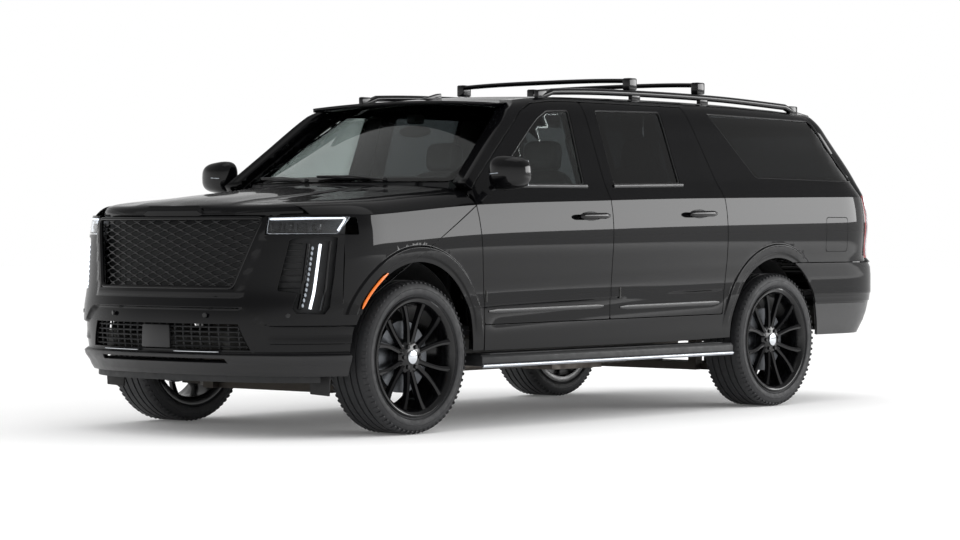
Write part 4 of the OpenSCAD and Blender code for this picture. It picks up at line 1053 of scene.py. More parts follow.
@dataclass
class Doors:
    """Four doors: painted skins over trimmed inner panels, with glass, seals, handles and mouldings."""

    bottom: float = 585.0
    gap: float = -194.5
    half_gap: float = 4.0

    def __post_init__(self) -> None:
        """Work out the outlines."""
        f, g, h, r = SHAPE.door_front, self.gap, self.half_gap, SHAPE.door_rear
        top = SHAPE.roof_h - 25 - 38
        self.front = [(f + 83, self.bottom), (f + 52, 850), (f + 25, 1060), (f, 1240), (f + 12, 1335),
                      (f + 108, 1410),
                      (f + 365, 1600), (f + 620, 1791), (f + 745, 1840), (f + 905, top - 6), (g - 150, top),
                      (g - 18 - h, top), (g - h, 1330), (g - h, self.bottom + 6)]
        self.rear = [(g + h, self.bottom + 6), (g + h, 1330), (g - 18 + h, top), (r - 159, top), (r - 80, 1600),
                     (r - 12, 1360), (r, 1290), (r + 10, 930), (r - 15, self.bottom + 12)]
        self.front_window = [(f + 218, 1364), (f + 440, 1538), (f + 655, 1698), (f + 740, 1756),
                             (f + 850, 1806),
                             (g - 157, 1814), (g - 189, 1370)]
        self.rear_window = [(g + 85, 1374), (g + 86, 1820), (g + 730, 1830), (g + 740, 1388)]

    def skin(self, line: Outline, window: Outline) -> bmesh.types.BMesh:
        """Skin, edge and inner panel of one left door."""
        ys = [p[0] for p in line]
        form = SHAPE.side
        outline = to_crease(rounded(line, 14))
        hole = to_crease(rounded(window, 22))
        cols = steps(min(ys) - 20, max(ys) + 20, 26)
        near = SHAPE.arch_lines(SHAPE.axle_f, FLARE) + SHAPE.arch_lines(SHAPE.rear_arch, FLARE)
        panel = Panel(form, outline, cols, SIDE_ROWS, [hole], side_depth(108, 42), straight_in(form), 2.2,
                      creases=near)
        bm = panel.build()
        layer = bm.verts.layers.float_vector["form_normal"]
        for face in bm.faces:
            if face.normal.x < -0.3 and all(v[layer].length < 0.5 for v in face.verts):
                face.material_index = 1
        return bm

    def handle(self, y0: float, y1: float, z: float) -> Stock:
        """Pull handle: a bowed bar on two feet over a shallow dark cup."""
        x = SHAPE.side_x((y0 + y1) / 2, z)
        made = Stock()
        path = [Vector((x + 30 + 8 * math.sin(math.pi * t), y0 + (y1 - y0) * t, z + 3 * t))
                for t in steps(0, 1, 14)]
        radii = [9, 15] + [17.5] * 11 + [14, 8]
        made.tube(path, radii, 16, 0.72, ACROSS)
        made.block((x - 6, x + 34), (y0 + 14, y0 + 40), (z - 9, z + 9), 5)
        made.block((x - 6, x + 34), (y1 - 44, y1 - 14), (z - 9, z + 9), 5)
        made.mark = 1
        made.ball(Vector((x + 1, (y0 + y1) / 2 - 6, z)), (5, 92, 27))
        return made

    def belt(self, y0: float, z0: float, y1: float, z1: float) -> Stock:
        """Moulding under a window."""
        made = Stock()
        path = []
        for t in steps(0, 1, 10):
            y, z = y0 + (y1 - y0) * t, z0 + (z1 - z0) * t
            path.append(Vector((SHAPE.side_x(y, z) + 2, y, z)))
        return made.tube(path, 7.5, 10, 1.6, UP)

    def seal(self, window: Outline) -> Stock:
        """Rubber channel round a window."""
        points = split_long(rounded(grown(window, -3), 22), 80)
        path = [Vector((SHAPE.side_x(y, z) - 10, y, z)) for y, z in points]
        return Stock().tube(path + path[:1], 6.5, 8, 1.0, ACROSS)

    def moulding(self, y0: float, y1: float, z: float) -> Stock:
        """Protective strip low on the door."""
        made = Stock()
        path = [Vector((SHAPE.side(y, z - SHAPE.crease(y)).x + 1, y, z + (y - y0) * 0.01))
                for y in steps(y0, y1, 16)]
        made.tube(path, [7] + [15] * 15 + [7], 12, 0.3, ACROSS)
        return made

    def trim(self, y0: float, y1: float) -> Stock:
        """Inner trim: arm rest, map pocket and a speaker grille."""
        made = Stock()
        x = SHAPE.half_w - 118
        made.block((x - 52, x + 6), (y0 + 130, y1 - 90), (985, 1045), 14, 3)
        made.block((x - 34, x + 6), (y0 + 160, y1 - 120), (640, 760), 12, 3)
        made.block((x - 12, x + 6), (y0 + 110, y1 - 70), (1060, 1300), 5)
        made.mark = 1
        made.turned([(0, 0), (72, 0), (78, 4), (78, 12)], Vector((x - 2, y0 + 230, 860)), Vector((-1, 0, 0)),
                    40)
        return made

    def build(self) -> None:
        """Make both sides."""
        jobs = (
            ("front", self.front, self.front_window, (-538, -262, 1190), CLEAR_GLASS),
            ("rear", self.rear, self.rear_window, (522, 800, 1208), DARK_GLASS),
        )
        for name, line, window, (h0, h1, hz), pane in jobs:
            skin = self.skin(line, window)
            belt_ends = (window[0], window[-1])
            for side in Side:
                body = f"{name}_door_{side.word}"
                piece(handed(skin, side), f"{name}_door_skin_{side.word}", body, [BLACK_PAINT, SOFT_TRIM],
                      [body],
                      45)
                piece(handed(self.handle(h0, h1, hz).bm, side), f"{name}_door_handle_{side.word}", body,
                      [GLOSS_BLACK, GRAINED_ABS])
                (y0, z0), (y1, z1) = belt_ends
                piece(handed(self.belt(y0 - 12, z0 - 6, y1 + 12, z1 - 6).bm, side), f"{name}_belt_{side.word}",
                      body,
                      SATIN_ABS)
                piece(handed(self.seal(window).bm, side), f"{name}_window_seal_{side.word}", body, SEAL_RUBBER)
                ys = [p[0] for p in line]
                piece(handed(self.moulding(min(ys) + 110, max(ys) - 60, 655).bm, side),
                      f"{name}_door_moulding_{side.word}", body, SATIN_ABS)
                piece(handed(self.trim(min(ys), max(ys)).bm, side), f"{name}_door_trim_{side.word}", body,
                      [SOFT_TRIM, GRAINED_ABS])
                form = lambda y, w: SHAPE.side(y, w) - Vector((13, 0, 0))
                ys = [p[0] for p in window]
                glass = Panel(form, to_crease(rounded(grown(window, 1), 20)),
                              steps(min(ys) - 10, max(ys) + 10, 8),
                              [40, 100, 180, 260, 340, 420, 500, 560, 640], depth=4.5, roll=0.6)
                piece(handed(glass.build(), side), f"{name}_door_pane_{side.word}", body, pane,
                      [f"{name}_door_glass_{side.word}"])
            skin.free()


@dataclass
class SidePanels:
    """Fixed sides: roof rails, pillars, sills, rear quarters with their glass, and the fuel door."""

    doors: Doors
    fuel: Outline = field(default_factory=lambda: [(2039, 975), (2279, 975), (2279, 1190), (2039, 1190)])

    def outline(self) -> Outline:
        """Outer edge of the left side in y and z."""
        s = SHAPE
        arch_y, low = s.rear_arch, 438.0
        start = 180 + math.degrees(math.asin((s.arch_z - low) / s.arch_r))
        end = math.degrees(math.asin((905.8 - s.arch_z) / s.arch_r))
        ys = steps(2190, -750, 30)
        return (
            [(s.door_front + 86, low)]
            + arc(arch_y, s.arch_z, s.arch_r, start, end, 40)
            + [(y, z) for z, y in PILLAR_LINE]
            + [(y, s.roof_edge(y) - 3) for y in ys]
            + [(-883, 1800), (-1433, 1372), (-1373, 1318), (-1361, 1180), (-1341, 850), (-1319, 570)]
        )

    def quarter_window(self) -> Outline:
        """Quarter window in y and z."""
        r = SHAPE.axle_r
        return [(r - 152, 1436), (r - 495, 1838), (r + 690, 1826), (r + 800, 1690), (r + 1000, 1424)]

    def opening(self) -> Outline:
        """Both door openings as one hole."""
        front, rear = self.doors.front, self.doors.rear
        return grown(front[:12] + rear[3:], 8)

    def jamb(self) -> bmesh.types.BMesh:
        """Painted frame behind the openings, with a hole inside each door's edge."""
        deep = lambda y, w: SHAPE.side(y, w) - Vector((123 if SHAPE.crease(y) + w < BELT_BREAK else 77, 0, 0))
        holes = [to_crease(rounded(grown(line, -44), 30)) for line in (self.doors.front, self.doors.rear)]
        return Panel(deep, to_crease(grown(self.opening(), 2)), steps(-1460, 980, 40), OPEN_ROWS, holes,
                     22.0).build()

    def door_seals(self) -> Stock:
        """Rubber seals round both openings, thicker over the belt line."""
        strip = Stock()
        for line in (self.doors.front, self.doors.rear):
            path, radii = [], []
            for y, z in split_long(rounded(grown(line, -30), 34), 60):
                low = z < BELT_BREAK
                path.append(Vector((SHAPE.side_x(y, z) - (115 if low else 63), y, z)))
                radii.append(8 if low else 13)
            strip.tube(path + path[:1], radii + radii[:1], 8, 1.0, ACROSS)
        return strip

    def quarter(self) -> None:
        """Quarter glass and its seal."""
        form = lambda y, w: SHAPE.side(y, w) - Vector((10, 0, 0))
        pane = Panel(form, to_crease(rounded(grown(self.quarter_window(), 1), 24)), steps(1000, 2520, 18),
                     [80, 140, 200, 260, 320, 380, 440, 500, 560, 640], depth=4.5, roll=0.6)
        both_sides(pane.build(), "quarter_pane", DARK_GLASS, ["quarter_glass"])
        points = split_long(rounded(grown(self.quarter_window(), -3), 26), 70)
        path = [Vector((SHAPE.side_x(y, z) - 7, y, z)) for y, z in points + points[:1]]
        both_sides(Stock().tube(path, 7, 8, 1.0, ACROSS).bm, "quarter_seal", GLOSS_BLACK)

    def hinges(self) -> Stock:
        """Pins and straps of the door hinges."""
        hinge = Stock()
        for y in (SHAPE.door_front + 80, self.doors.gap + 84):
            for z in (740, 1090):
                hinge.tube([Vector((1008, y, z - 32)), Vector((1008, y, z + 32))], 7, 16)
                hinge.block((872, 1006), (y - 11, y + 11), (z - 17, z + 17), 4)
                hinge.block((868, 890), (y - 60, y + 11), (z - 17, z + 17), 4)
        return hinge

    def fuel_door(self) -> None:
        """Fuel door on the left, and the filler behind it."""
        cover = Panel(SHAPE.side, to_crease(rounded(self.fuel, 24, 5), 40), steps(2030, 2290, 8), SIDE_ROWS,
                      depth=8.0, roll=1.6)
        piece(cover.build(), "fuel_flap", "fuel_door", BLACK_PAINT, ["fuel_door"])
        neck = Stock()
        neck.block((940, 952), (2046, 2272), (982, 1184), 4)
        neck.turned([(0, 20), (34, 20), (38, 16), (38, 0), (44, 0)], Vector((952, 2165, 1080)), ACROSS, 40)
        piece(neck, "fuel_filler", "body", GRAINED_ABS)

    def build(self) -> None:
        """Make both sides; only the left has the fuel door."""
        outer = to_crease(self.outline())
        cols = [-1460, -1400] + steps(-1340, 960, 38) + steps(1010, 2560, 44)
        holes = [to_crease(rounded(self.opening(), 14)), to_crease(rounded(self.quarter_window(), 26))]
        fuel_hole = to_crease(rounded(grown(self.fuel, 5), 26, 5), 40)
        for side in Side:
            left = side is Side.LEFT
            panel = Panel(SHAPE.side, outer, cols, OPEN_ROWS, holes + ([fuel_hole] if left else []),
                          side_depth(118, 96),
                          straight_in(SHAPE.side), 1.6, creases=SHAPE.arch_lines(SHAPE.rear_arch, FLARE))
            piece(handed(panel.build(), side), f"body_side_{side.word}", "body", BLACK_PAINT,
                  ["body_sides"] if left else (), 45)
        both_sides(self.jamb(), "door_jamb", BLACK_PAINT, sharp=45)
        both_sides(self.door_seals().bm, "door_seals", SEAL_RUBBER)
        self.quarter()
        both_sides(self.hinges().bm, "door_hinges", WAXED_STEEL)
        self.fuel_door()


@dataclass
class Nose:
    """Front wings, hood, fascia and cowl."""

    grille_top: float = 1177.0
    grille_foot: float = 794.0
    grille_half: float = 640.0
    foot_half: float = 512.0
    satin_top: float = 455.0  # the fascia is satin below this height

    def around(self, points: Outline) -> Outline:
        """Turn an outline in x and z into one in degrees round the nose and z."""
        return [(SHAPE.nose_angle(x, z), z) for x, z in points]

    def wing_point(self, y: float, v: float) -> Vector:
        """Point of the front wing; v above 0 runs over the shoulder to the hood's edge."""
        if v <= 0:
            return SHAPE.side(y, v)
        t, c = min(v / 150, 1), SHAPE.crease(y)
        x0, x1 = SHAPE.side(y, 0).x, SHAPE.hood_half(y) + 8
        return Vector((x0 + (x1 - x0) * t, y, c + (SHAPE.hood_z(x1, y) - c) * (1 - (1 - t) ** 2)))

    def wing(self) -> bmesh.types.BMesh:
        """Left front wing."""
        s = SHAPE
        f = s.door_front
        lamp = 1178.0
        arch = [(y, z) for y, z in arc(s.axle_f, s.arch_z, s.arch_r, 154.9, 0, 40) if z >= 455]
        rear = [(f + 75, 440), (f + 75, 580), (f + 44, 850), (f + 17, 1060), (f - 8, 1240)]
        side = [(-2438, 661)] + arch + [(s.axle_f + s.arch_r, 440)] + rear
        side = to_crease(side) + [(f - 10, 1246 - s.crease(f - 10)), (f - 26, 60), (f - 32, 149)]
        side += [(y, 149) for y in steps(f - 40, -2560, 14)]
        side += [(-2560, lamp - s.crease(-2560)), (-2360, lamp - s.crease(-2360)),
                 (-2353, 1172 - s.crease(-2353)),
                 (-2353, 1090 - s.crease(-2353)), (-2358, 1083 - s.crease(-2358)),
                 (-2438, 1083 - s.crease(-2438))]
        cols = steps(-2580, -1310, 44)
        rows = [r for r in SIDE_ROWS if -860 <= r <= 9] + [22, 40, 60, 85, 110, 130, 150.5]
        panel = Panel(self.wing_point, side, cols, rows, depth=16.0, roll=1.6,
                      creases=s.arch_lines(s.axle_f, FLARE))
        return panel.build()

    def hood_front(self, t: float) -> float:
        """Station of the hood's front edge."""
        s = SHAPE
        share = min(abs(t) * 0.86, 1.0)
        return s.nose_side - (s.nose_run(1215) - 6) * (1 - share**s.nose_power) ** (1 / s.nose_power)

    def hood_point(self, u: float, v: float) -> Vector:
        """Point of the hood; v below 0 runs down the lip over the grille, v of 1000 is the rear edge."""
        s = SHAPE
        t = u / 1000
        front = self.hood_front(t)
        rear = min(s.glass_y(t * 860, 0) - 62, -1433)
        share = max(v, 0) / 1000
        y = front + share * (rear - front)
        x = t * s.hood_half(max(y, s.nose_side - 330))
        z = s.hood_z(x, y)
        ridge = smooth((abs(t) - 0.50) / 0.05) * smooth((0.96 - abs(t)) / 0.3)
        z -= 9 * ridge * smooth(share / 0.12) * (1 - smooth((share - 0.8) / 0.2))
        z += 7 * smooth((0.5 - abs(t)) / 0.35) * smooth(share / 0.25)
        z -= 4 * smooth((0.03 - abs(abs(t) - 0.505)) / 0.02) * smooth(share / 0.12)
        if v < 0:
            low = min(-v / 60, 1)
            z0 = z
            z = z0 + (1182 - z0) * low
            y = front - 16 * smooth(min(low / 0.5, 1)) + (0 if low < 0.55 else 5 * (low - 0.55))
        return Vector((x, y, z))

    def hood(self) -> bmesh.types.BMesh:
        """Hood panel with its lip."""
        outline = [(-1000, -58), (1000, -58), (1000, 1000), (-1000, 1000)]
        points = []
        for a, b in zip(outline, outline[1:] + outline[:1]):
            points += [(a[0] + (b[0] - a[0]) * i / 30, a[1] + (b[1] - a[1]) * i / 30) for i in range(30)]
        cols = sorted(set(steps(-1000, 1000, 40)) | {-575.0, -530.0, -505.0, -490.0, 490.0, 505.0, 530.0,
                                                     575.0})
        cols[0], cols[-1] = -1010.0, 1010.0
        rows = [-60, -56, -44, -36, -33, -30, -27, -20, -10, -4, -1.5, 0, 3, 8, 16, 30, 50, 80, 120, 170]
        rows += steps(220, 960, 20) + [985, 1001]
        panel = Panel(self.hood_point, points, cols, rows, depth=16.0)
        return panel.build()

    def fascia_outline(self) -> Outline:
        """Outer edge of the front fascia in degrees and z, going round from the lower left."""
        s = SHAPE

        def at_y(y: float, z: float) -> Point2:
            """Point of the edge at a station."""
            return s.nose_angle_y(y, z), z

        right = [at_y(-2384, z) for z in steps(334, 455, 4)]
        right += [at_y(s.axle_f - math.sqrt(s.arch_r**2 - (z - s.arch_z) ** 2) - 2, z)
                  for z in steps(470, 659, 8)]
        right += [at_y(-2441, z) for z in steps(661, 1083, 12)]
        top = [(s.nose_angle(x, 1083), 1083) for x in steps(930, 652, 8)]
        head, wide = self.grille_top, self.grille_half
        top += [(s.nose_angle(wide + off, head), head) for off in (12, 1)]
        fall, narrow = head - self.grille_foot, wide - self.foot_half
        down = [(s.nose_angle(wide - narrow * t, head - fall * t), head - fall * t) for t in steps(0, 1, 14)]
        half = right + top + down
        other = [(-a, z) for a, z in reversed(half)]
        low = [(a, 334) for a in steps(-60, 60, 40)]
        return half + other + low

    def fascia_point(self, a: float, z: float) -> Vector:
        """Point of the fascia, with its ledges and the swept band over the lower grille."""
        out = 0.0
        p = SHAPE.nose_at(a, z)
        x = abs(p.x)
        edge = 700 - 95 * smooth((x - 545) / 190)  # lower edge of the upper body of the nose
        out -= 15 * smooth((edge - z) / 10) * smooth((z - 440) / 20)
        out += 12 * smooth((455 - z) / 10) * smooth((z - 380) / 40)
        out += 7 * smooth((z - 500) / 8) * smooth((560 - z) / 60) * smooth((x - 690) / 40)
        narrow, fall = self.grille_half - self.foot_half, self.grille_top - self.grille_foot
        frame = self.grille_half - narrow * (self.grille_top - z) / fall if z > self.grille_foot else self.foot_half
        rim = max(x - frame, self.grille_foot - z)
        out += 10 * smooth((46 - rim) / 10) * smooth((z - 735) / 20)
        return SHAPE.nose_at(a, z, out)

    def pocket(self) -> Outline:
        """Opening for the upright lamp and its vent, on the left, in degrees and z."""
        pts = [(776, 1052), (738, 800), (744, 786), (826, 776), (812, 700), (830, 668), (925, 662), (940, 700),
               (948, 860), (960, 1070), (938, 1076), (800, 1068)]
        return split_long(self.around(pts), 60)

    def build(self) -> None:
        """Make the nose."""
        both_sides(self.wing(), "front_wing", BLACK_PAINT, ["front_fenders"], 45)
        piece(self.hood(), "hood_panel", "hood", [BLACK_PAINT], ["hood"], 40)
        lug = Stock()
        for x in (-634, 610):
            lug.prism([(-1478, 1290), (-1450, 1290), (-1450, 1308), (-1478, 1318), (-1533, 1330),
                       (-1533, 1306)],
                      lambda u, v, w: Vector((w, u, v)), x, x + 24, 3)
        piece(lug, "hood_hinges", "hood", WAXED_STEEL)
        low = self.around(split_long([(-560, 612), (-620, 470), (620, 470), (560, 612)], 60))
        slot = self.around(split_long([(-470, 428), (-480, 400), (480, 400), (470, 428)], 60))
        pocket = self.pocket()
        other = [(-a, z) for a, z in reversed(pocket)]
        rows = [328, 345, 360, 385, 400, 414, 428, 440, 450, 457, 470, 490, 500, 506, 515, 535, 555, 580, 596,
                602, 608,
                614, 624, 640, 660, 680, 692, 697, 702, 707, 720, 735, 745, 755, 780, 794, 820] + steps(850,
                                                                                                        1070, 11)
        rows += [1083.5, 1110, 1140, 1177.5]
        panel = Panel(self.fascia_point, self.fascia_outline(), steps(-86, 86, 86), rows,
                      [low, slot, pocket, other],
                      depth=26.0, roll=2.5)
        bm = panel.build()
        for face in bm.faces:
            if face.calc_center_median().z < self.satin_top:
                face.material_index = 1
        piece(bm, "front_fascia", "body", [BLACK_PAINT, SATIN_ABS], ["front_bumper"], 40)
        header = Panel(SHAPE.nose_at, self.header_outline(), steps(38, 80, 16), [1176, 1184, 1192, 1200, 1206],
                       depth=18.0, roll=2.0)
        both_sides(header.build(), "lamp_header", BLACK_PAINT)
        self.deflectors()
        self.cowl()

    def header_outline(self) -> Outline:
        """Strip of body between the headlamp and the hood's corner."""
        s = SHAPE
        low = [(s.nose_angle(x, 1178), 1178) for x in steps(700, 965, 10)]
        high = [(s.nose_angle(x, 1186 + (x - 700) * 0.02), 1186 + (x - 700) * 0.02)
                for x in steps(960, 700, 10)]
        return low + high

    def deflectors(self) -> None:
        """Air dam under the fascia, and the flaps ahead of the front tyres."""
        dam = Panel(lambda a, z: SHAPE.nose_at(a, 345, -30) + Vector((0, 0, z - 345)),
                    [(-62, 300), (62, 300), (62, 344), (-62, 344)], steps(-63, 63, 40), [299, 315, 330, 345],
                    depth=8.0, roll=1.5)
        piece(dam.build(), "air_dam", "body", GRAINED_ABS)
        flap = Stock()
        for s in (-1, 1):
            flap.prism([(-70, 335), (-62, 232), (74, 226), (84, 335)], lambda u, v,
                       w: Vector((s * 800 + u, w, v)),
                       -2455, -2443, 3)
        piece(flap, "tyre_deflectors", "body", SEAL_RUBBER)

    def cowl(self) -> None:
        """Grained panel at the foot of the windshield, with two wipers."""
        form = lambda x, v: Vector((x, SHAPE.glass_y(x, 0) - 60 + v, SHAPE.cowl_h - 70 + v * 0.62))
        outline = [(x, 4) for x in steps(-520, 520, 24)] + [(x, 78) for x in steps(520, -520, 24)]
        panel = Panel(form, outline, steps(-525, 525, 24), [0, 20, 40, 60, 79], depth=12.0, roll=1.5)
        piece(panel.build(), "cowl_grille", "body", GRAINED_ABS)
        made = Stock()
        for x0, x1 in ((-110, -660), (440, -60)):
            start = Vector((x0, SHAPE.glass_y(x0, 0) - 8, SHAPE.cowl_h + 2))
            s1 = 0.06
            end = Vector((x1, SHAPE.glass_y(x1, s1) - 22, SHAPE.glass_z(x1, s1) + 12))
            made.tube([start, start.lerp(end, 0.5) + Vector((0, 0, 10)), end], [9, 8, 5], 10, 0.6)
            made.tube([start.lerp(end, 0.15) + Vector((0, 6, 0)), end + Vector((0, 4, -6))], 5, 8)
            made.ball(start, (16, 16, 14))
        piece(made, "wipers", "body", SATIN_ABS)


# ---------------------------------------------------------------- glass, roof and tail
@dataclass
class Greenhouse:
    """Windshield, roof skin and roof rack."""

    rail_x: float = 700.0  # middle of each roof rail

    def windshield(self) -> None:
        """Curved windshield with a dark border."""
        s = SHAPE
        form = lambda x, v: Vector((x, s.glass_y(x, v / 1000) + 2, s.glass_z(x, v / 1000) + 2))
        outline = rounded([(-796, 10), (796, 10), (672, 985), (-672, 985)], 40)
        inner = rounded([(-740, 80), (740, 80), (634, 925), (-634, 925)], 60)
        outline = split_long(outline, 90)
        pane = Panel(form, outline, steps(-800, 800, 24), steps(0, 990, 16), depth=5.5, roll=0.8)
        piece(pane.build(), "windshield_pane", "body", CLEAR_GLASS, ["windshield"])
        under = lambda x, v: form(x, v) + Vector((0, 5, -7))
        frit = Panel(under, outline, steps(-800, 800, 24), steps(0, 990, 16), [split_long(inner, 90)],
                     depth=1.5, roll=0.5)
        piece(frit.build(), "windshield_border", "body", GLOSS_BLACK)
        made = Stock()
        made.block((-32, 32), (s.glass_y(0, 0.9) + 40, s.glass_y(0, 0.9) + 130), (1735, 1790), 10)
        made.ball(Vector((0, s.glass_y(0, 0.86) + 110, 1690)), (128, 16, 36))
        piece(made, "inner_mirror", "body", GRAINED_ABS)

    def roof(self) -> None:
        """Roof skin between the ditch channels."""
        s = SHAPE
        form = lambda x, y: Vector((x, y, s.roof_z(x, y)))
        front, rear, half = -952, 2205, s.roof_half + 26
        outline = split_long(rounded([(-half + 14, front + 6), (half - 14, front + 6), (half, rear),
                                      (-half, rear)], 30), 90)
        panel = Panel(form, outline, steps(-half - 4, half + 4, 26), steps(front - 12, rear + 6, 34),
                      depth=22.0, roll=2.5)
        piece(panel.build(), "roof_skin", "body", BLACK_PAINT, ["roof_panel"])
        fin = Stock()
        fin.prism([(-760, 0), (-560, 0), (-566, 44), (-600, 40)], lambda u, v,
                  w: Vector((w, u, s.roof_z(0, -660) + v - 3)),
                  -13, 13, 6, 3)
        piece(fin, "roof_fin", "body", GLOSS_BLACK)

    def rack(self) -> None:
        """Two side rails and two crossbars."""
        s = SHAPE
        made = Stock()
        for side in (-1, 1):
            path, radii = [], []
            for t in steps(0, 1, 40):
                y = -505 + 2665 * t
                lift = 36 * smooth(min(t / 0.05, (1 - t) / 0.05))
                path.append(Vector((side * self.rail_x, y, s.roof_z(self.rail_x, y) + 2 + lift)))
                radii.append(21 if 0 < t < 1 else 10)
            made.tube(path, radii, 16, 0.95)
            for y in (-470, 430, 1130, 2120):
                made.block((side * self.rail_x - 15, side * self.rail_x + 15), (y - 45, y + 45),
                           (s.roof_z(self.rail_x, y) - 8, s.roof_z(self.rail_x, y) + 50), 8)
        for y in (425.5, 1125.5):
            path = [Vector((x, y, 2030 - 10 * abs(x / 640) ** 3)) for x in steps(-655, 655, 24)]
            made.tube(path, 34, 16, 0.42)
            for side in (-1, 1):
                made.block((side * 668 - 28, side * 668 + 28), (y - 40, y + 40), (1962, 2036), 9)
        piece(made, "roof_rack_rails", "body", GLOSS_BLACK, ["roof_rack"])

    def build(self) -> None:
        """Make all of it."""
        self.windshield()
        self.roof()
        self.rack()


@dataclass
class Tail:
    """Liftgate with its glass, rear bumper and tail lamps."""

    satin_top: float = 640.0  # the bumper is satin below this height

    def gate_point(self, a: float, z: float) -> Vector:
        """Point of the liftgate's outer face."""
        p = SHAPE.tail_at(a, z)
        return p + Vector((0,
                           -6 * smooth((z - 1020) / 12) * smooth((1220 - z) / 12) * smooth((360 - abs(p.x)) / 20), 0))

    def around(self, points: Outline) -> Outline:
        """Turn an outline in x and z into one in degrees round the tail and z."""
        return [(SHAPE.tail_angle(x, z), z) for x, z in split_long(points, 60)]

    def build(self) -> None:
        """Make the tail."""
        gate = [(-862, 925), (862, 925), (856, 1340), (806, 1500), (690, 1790), (640, 1872), (-640, 1872),
                (-690, 1790),
                (-806, 1500), (-856, 1340)]
        glass = [(-740, 1415), (740, 1415), (650, 1765), (-650, 1765)]
        cols, rows = steps(-80, 80, 60), [920, 935, 960, 990, 1014, 1026, 1080, 1140, 1205, 1222, 1260, 1300,
                                          1340, 1380]
        rows += steps(1410, 1870, 14) + [1874]
        hole = self.around(rounded(glass, 40))
        panel = Panel(self.gate_point, self.around(rounded(gate, 26)), cols, rows, [hole], 40.0, None, 2.2,
                      True)
        piece(panel.build(), "gate_skin", "liftgate", BLACK_PAINT, ["liftgate"], 45)
        deep = lambda a, z: SHAPE.tail_at(a, z, -8)
        pane = Panel(deep, self.around(rounded(grown(glass, 4), 40)), steps(-60, 60, 20), steps(1400, 1780, 8),
                     [],
                     4.5, None, 0.6, True)
        piece(pane.build(), "gate_pane", "liftgate", DARK_GLASS, ["liftgate_glass"])
        made = Stock()
        path = [SHAPE.tail_at(a, 1238, 6) for a in steps(-34, 34, 24)]
        made.tube(path, 13, 12, 0.7)
        made.mark = 1
        y = SHAPE.tail_at(0, 1120).y
        made.block((-262, 262), (y - 14, y + 4), (1045, 1195), 6)
        piece(made, "gate_trim", "liftgate", [GLOSS_BLACK, PLATE_BLANK])
        spoiler = Stock()
        spoiler.prism([(2196, 1872), (2262, 1890), (2402, 1870), (2412, 1858), (2396, 1848), (2300, 1852)],
                      lambda u, v, w: Vector((w, u, v)), -640, 640, 7, 3)
        piece(spoiler, "gate_spoiler", "liftgate", GLOSS_BLACK)
        wiper = Stock()
        base = SHAPE.tail_at(0, 1402, 14)
        tip = SHAPE.tail_at(-24, 1440, 14)
        wiper.ball(base, (22, 14, 18)).tube([base, tip], 8,
                                            10).tube([tip + Vector((220, 0, -6)), tip - Vector((190, 0, 0))], 6,
                                                     8)
        piece(wiper, "rear_wiper", "liftgate", SATIN_ABS)
        self.bumper()
        self.lamps()

    def wrap(self, a: float, z: float) -> Vector:
        """Point of the rear bumper; beyond 90 degrees it runs forward along the side, 10 mm a degree."""
        s = SHAPE
        out = 6 * smooth((z - self.satin_top) / 12) - 4 * smooth((700 - z) / 10)
        if abs(a) <= 90:
            return s.tail_at(a, z, out)
        p = s.tail_at(math.copysign(90, a), z, out)
        return p - Vector((0, (abs(a) - 90) * 10, 0))

    def bumper(self) -> None:
        """Rear bumper with a satin lower part and a step."""
        s = SHAPE
        edge = []
        for z in steps(440, 898, 14):
            y = s.rear_arch + math.sqrt(s.arch_r**2 - max(z - s.arch_z, 0) ** 2) + 2
            edge.append((90 + (s.tail_side - y) / 10, z) if y < s.tail_side else (s.tail_angle_y(y, z), z))
        right = [(-a, z) for a, z in reversed(edge)]
        low = [(a, 440) for a in steps(-edge[0][0], edge[0][0], 60)][1:-1]
        high = [(a, 898) for a in steps(edge[-1][0], -edge[-1][0], 60)][1:-1]
        rows = [438, 470, 520, 570, 620, 636, 644, 652, 680, 694, 702, 712, 760, 820, 870, 890, 900]
        hole = [(s.tail_angle(x, z), z) for x,
                z in split_long([(-160, 470), (160, 470), (150, 590), (-150, 590)], 50)]
        panel = Panel(self.wrap, low + edge + high + right, steps(-142, 142, 112), rows, [hole], 18.0, None,
                      2.2, True)
        bm = panel.build()
        for f in bm.faces:
            if f.calc_center_median().z < self.satin_top:
                f.material_index = 1
        piece(bm, "rear_bumper_cover", "body", [BLACK_PAINT, SATIN_ABS], ["rear_bumper"], 40)
        made = Stock()
        for side in (-1, 1):
            path = [self.wrap(side * s.tail_angle(x, 560), 560) for x in steps(640, 800, 8)]
            made.tube(path, [6] + [13] * 7 + [6], 10, 0.45, ALONG)
        piece(made, "rear_reflectors", "body", LENS_RED)

    def corner(self, u: float, z: float) -> Vector:
        """Point of the rear corner; u runs from the side (0) to the liftgate (1000)."""
        s, t = SHAPE, u / 1000
        y = broken_line(z, PILLAR_LINE) + 4
        a = Vector((s.side(y, z - s.crease(y)).x, y, z))
        half = broken_line(z, GATE_LINE) + 5 + 24 * smooth((z - 1700) / 90)
        b = s.tail_at(s.tail_angle(half, z), z)
        mid = Vector((a.x - 4, b.y + 1, z))
        return a * (1 - t) ** 2 + mid * 2 * t * (1 - t) + b * t * t

